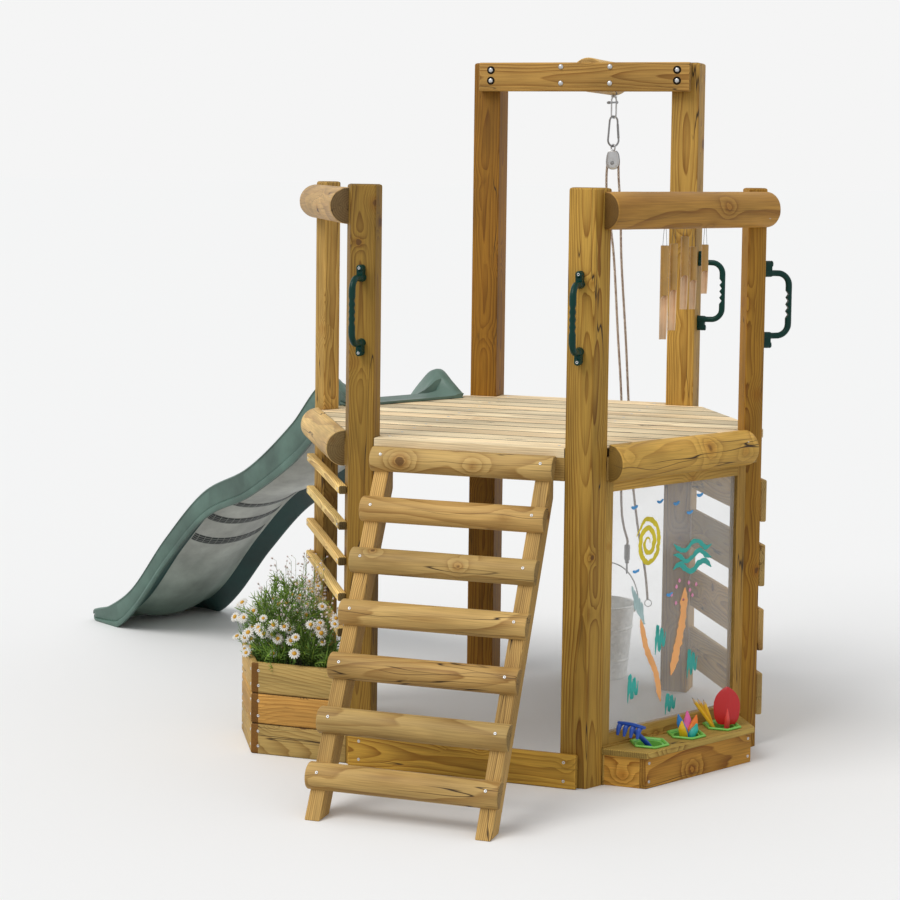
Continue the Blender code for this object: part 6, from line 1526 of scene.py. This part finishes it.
wire_at, slope_along = pivot + line[19], (line[20] - line[18]).normalized()
steep = 1 / max(math.sqrt(1 - slope_along.z ** 2), 0.3)
middle = wire_at + UP * (-(BAIL_WIRE + 0.0026) * steep * 1.06 - 0.0003 + 0.009 + 0.007)
hook = bmesh.new()
wire_loop(hook, looped(middle, hinge_side, UP, 0.009, 0.007, 40), 0.0026, hinge, STEEL_DARK)
neck = middle + UP * 0.016
coloured(hook, lathed(neck, ((0.0003, -0.0010), (0.0050, 0), (0.0066, 0.0020), (0.0074, 0.0042),
                             (0.0064, 0.0075), (0.0058, 0.0104), (0.0074, 0.0110)), 24), STEEL_DARK)
knurl = []
for i in range(41):
    at = 0.0112 + 0.0496 * i / 40
    end = min(at - 0.0112, 0.0608 - at)
    knurl.append([neck + UP * at + (hinge * math.cos(a) + hinge_side * math.sin(a))
                  * ((0.0095 if end > 0.002 else 0.0082)
                     + (0.0006 * math.sin(8 * a + i * 0.9) - 0.0006 if end > 0.003 else 0))
                  for a in (math.tau * k / 40 for k in range(40))])
coloured(hook, knurl, STEEL_DARK)
settled(finished("snap_hook_and_ferrule", hook, zinc_steel, 50), "zinc_steel", "hook_and_handle", "snap_hook")

# Wind chimes. Five stained canes under the right handrail, each cut slantwise at its lower end so
# that the pale inside shows, on a doubled thread tacked to the log.
CUT_FACING, CUT_SHARE = 306, 0.47
CHIMES = ((0.0110, 0.252, 0.044), (0.0105, 0.233, 0.040), (0.0110, 0.197, 0.021), (0.0100, 0.170, 0.049),
          (0.0095, 0.134, 0.044))
CANE, CANE_INSIDE, THREAD = (0.48, 0.265, 0.062), (0.80, 0.54, 0.32), (0.06, 0.05, 0.04)
cane_skin = surfaced("bamboo", 0.45, 0.002, 0.0003, 0.12, tone=(0.72, 1.25), coat=0.15)
for number, (radius, length, drop) in enumerate(CHIMES):
    low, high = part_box("chime_%d" % (number + 1))
    top = Vector(((low.x + high.x) / 2, (low.y + high.y) / 2, high.z))
    body, bore = bmesh.new(), radius * 0.66
    shape = [(0.0005, 0), (bore, 0.0000), (radius * 0.90, 0.0), (radius * 0.99, 0.0006), (radius, 0.0016)]
    for share in (0.14, 0.34):
        shape += [(radius, length * share - 0.0035), (radius, length * share - 0.0012),
                  (radius * 0.955, length * share), (radius, length * share + 0.0014)]
    shape += [(radius * 0.995, length), (radius * 0.96, length + 0.0002), (bore * 1.04, length + 0.0002),
              (bore, length), (bore, length * 0.62), (bore, length * 0.30), (0.0005, length * 0.29)]
    rings = []
    for r, down in shape:
        ring_points = []
        for k in range(32):
            a = math.tau * k / 32
            facing = math.cos(a - math.radians(CUT_FACING))
            open_here = min(max((facing + 0.25) / 0.40, 0.0), 1.0)
            lift = max(0.0, (down / length - 0.5) / 0.5) * length * CUT_SHARE * open_here * (
                1 - 0.16 * (1 - max(facing, 0.0)) ** 2)
            ring_points.append(top + Vector((math.cos(a) * r, math.sin(a) * r, -drop - down + lift)))
        rings.append(ring_points)
    last_outer = len(shape) - 7
    coloured(body, rings, lambda i, edge=last_outer: CANE if i < edge else CANE_INSIDE)
    for turn in (-1, 1):
        side = heading(60) * radius * 0.62 * turn
        coloured(body, wire_rings([top + side * 0.55, top + side * 0.9 - UP * drop * 0.5,
                                   top + side * 1.2 - UP * (drop + 0.004)],
                                  0.0006, 6), THREAD)
    settled(finished("chime_cane_%d" % (number + 1), body, cane_skin, 40), "bamboo",
            "chime_%d" % (number + 1), "chime_%d" % (number + 1))

# Screws and bolts. Zinc screws sunk flush at every board, rung and log end, hexagon bolts where the
# crossbar meets the tall posts, and dome-headed coach bolts through it into the arm.
screw = bmesh.new()
coloured(screw, lathed(Vector(), ((0.0040, -0.0030), (0.0042, 0.0002), (0.0036, 0.0007), (0.0020, 0.0007),
                                  (0.0013, -0.0006), (0.0003, -0.0008)), 12), STEEL)
screw = small_shape("screw", screw)
bolt = bmesh.new()
# A flush near-black brown disc round the head: painted shade round the bolt.
coloured(bolt, lathed(Vector(), ((0.0128, -0.0010), (0.0128, 0.0003), (0.0120, 0.0005), (0.0080, 0.0005)),
                      24),
         (0.020, 0.014, 0.008))
coloured(bolt, lathed(Vector(), ((0.0074, 0.0000), (0.0074, 0.0022), (0.0064, 0.0030), (0.0002, 0.0030)), 6),
         STEEL)
bolt = small_shape("hexagon_bolt", bolt)
dome = bmesh.new()
coloured(dome, lathed(Vector(), ((0.0084, -0.0010), (0.0085, 0.0006), (0.0074, 0.0026), (0.0050, 0.0042),
                                 (0.0022, 0.0050), (0.0002, 0.0051)), 20), STEEL)
dome = small_shape("coach_bolt", dome)


SCREW_LIFT = 0.0002


def ends_of(node, run, out, setback, rows=(0.0,)):
    """Places for fixings near both ends of a board, on its outer face."""
    up = run.cross(out).normalized()
    first, last = span(node, run)
    low_at, high_at = span(node, up)
    face_at = span(node, out)[1]
    middle_at, half = (low_at + high_at) / 2, (high_at - low_at) / 2
    return [(run * along + up * (middle_at + half * row) + out * (face_at + SCREW_LIFT), out)
            for along in (first + setback, last - setback) for row in rows]


fixings = []
for k in range(7):
    fixings += ends_of("ladder_rung_%d" % (k + 1), Vector((1, 0, 0)), off_slope, 0.032)
fixings += ends_of("kickboard_front", Vector((1, 0, 0)), Vector((0, -1, 0)), 0.035, (-0.55, 0.55))
for k in range(5):
    fixings += ends_of("side_batten_%d" % (k + 1), heading(120), heading(210), 0.026)
for k in range(4):
    fixings += ends_of("climbing_board_%d" % (k + 1), heading(120), heading(30), 0.024, (-0.5, 0.5))
for node in ("handrail_log_left", "handrail_log_right", "deck_log_left", "deck_log_right"):
    run, out = (heading(turn) for turn in ((120, 210) if node.endswith("left") else (60, 330)))
    for row in (-0.42, 0.42):
        share_out = math.sqrt(1 - row * row)
        for spot, _ in ends_of(node, run, out, 0.040, (row,)):
            fixings.append((spot - out * (0.052 * (1 - share_out) + 0.0014),
                            (out * share_out + run.cross(out) * row * 0.9).normalized()))
for tier in range(3):
    for height in (0.022, 0.064):
        z = UP * (0.0003 + PLANTER_TIER * tier + height)
        for share in (0.075, 0.90):
            fixings.append((plan[3].lerp(plan[0], share) + heading(270) * SCREW_LIFT + z, heading(270)))
        for share in (0.06, 0.94):
            fixings.append((plan[2].lerp(plan[3], share) + left_out * SCREW_LIFT + z, left_out))
shelf_front = TOWER + heading(300) * TOWER_SIDE + pane_run * SHELF_START + pane_out * (0.0003 + SHELF_DEPTH)
shelf_setback = SHELF_DEPTH / math.tan(math.radians(60)) + 0.012
for along in (shelf_setback, SHELF_LENGTH - shelf_setback):
    for height in (0.018, 0.068):
        fixings.append((shelf_front + pane_run * along + pane_out * SCREW_LIFT + UP * height, pane_out))
for foot, out in handle_marks:
    fixings += [(foot + out * 0.0268 + UP * turn * BOSS_HALF, out) for turn in (-1, 1)]
for x in (-0.24, 0.24):
    for k in range(DECK_BOARDS):
        fixings.append((Vector((TOWER.x + x, DECK_FRONT + BOARD_PITCH * (k + 0.5), deck_top + 0.0001)), UP))
settled(spread("screws", fixings, screw, zinc_steel, 1.0, 1.0, math.tau, 11), "zinc_steel", "tower")
crossbar_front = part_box("crossbar")[0].y
bolt_spots = [(Vector((TOWER.x + x, crossbar_front, z)), Vector((0, -1, 0))) for x in (-0.30, 0.30)
              for z in (1.943, 1.910)]
dome_spots = [(Vector((TOWER.x + x, crossbar_front, z)), Vector((0, -1, 0))) for x in (-0.071, 0.087)
              for z in (1.953, 1.902)]
settled(spread("crossbar_bolts", bolt_spots, bolt, zinc_steel, 1.0, 1.0, math.tau, 12), "zinc_steel", "tower")
settled(spread("arm_bolts", dome_spots, dome, zinc_steel, 1.0, 1.0, 0.0, 13), "zinc_steel", "tower")
for shape in (screw, bolt, dome):
    bpy.data.objects.remove(shape)
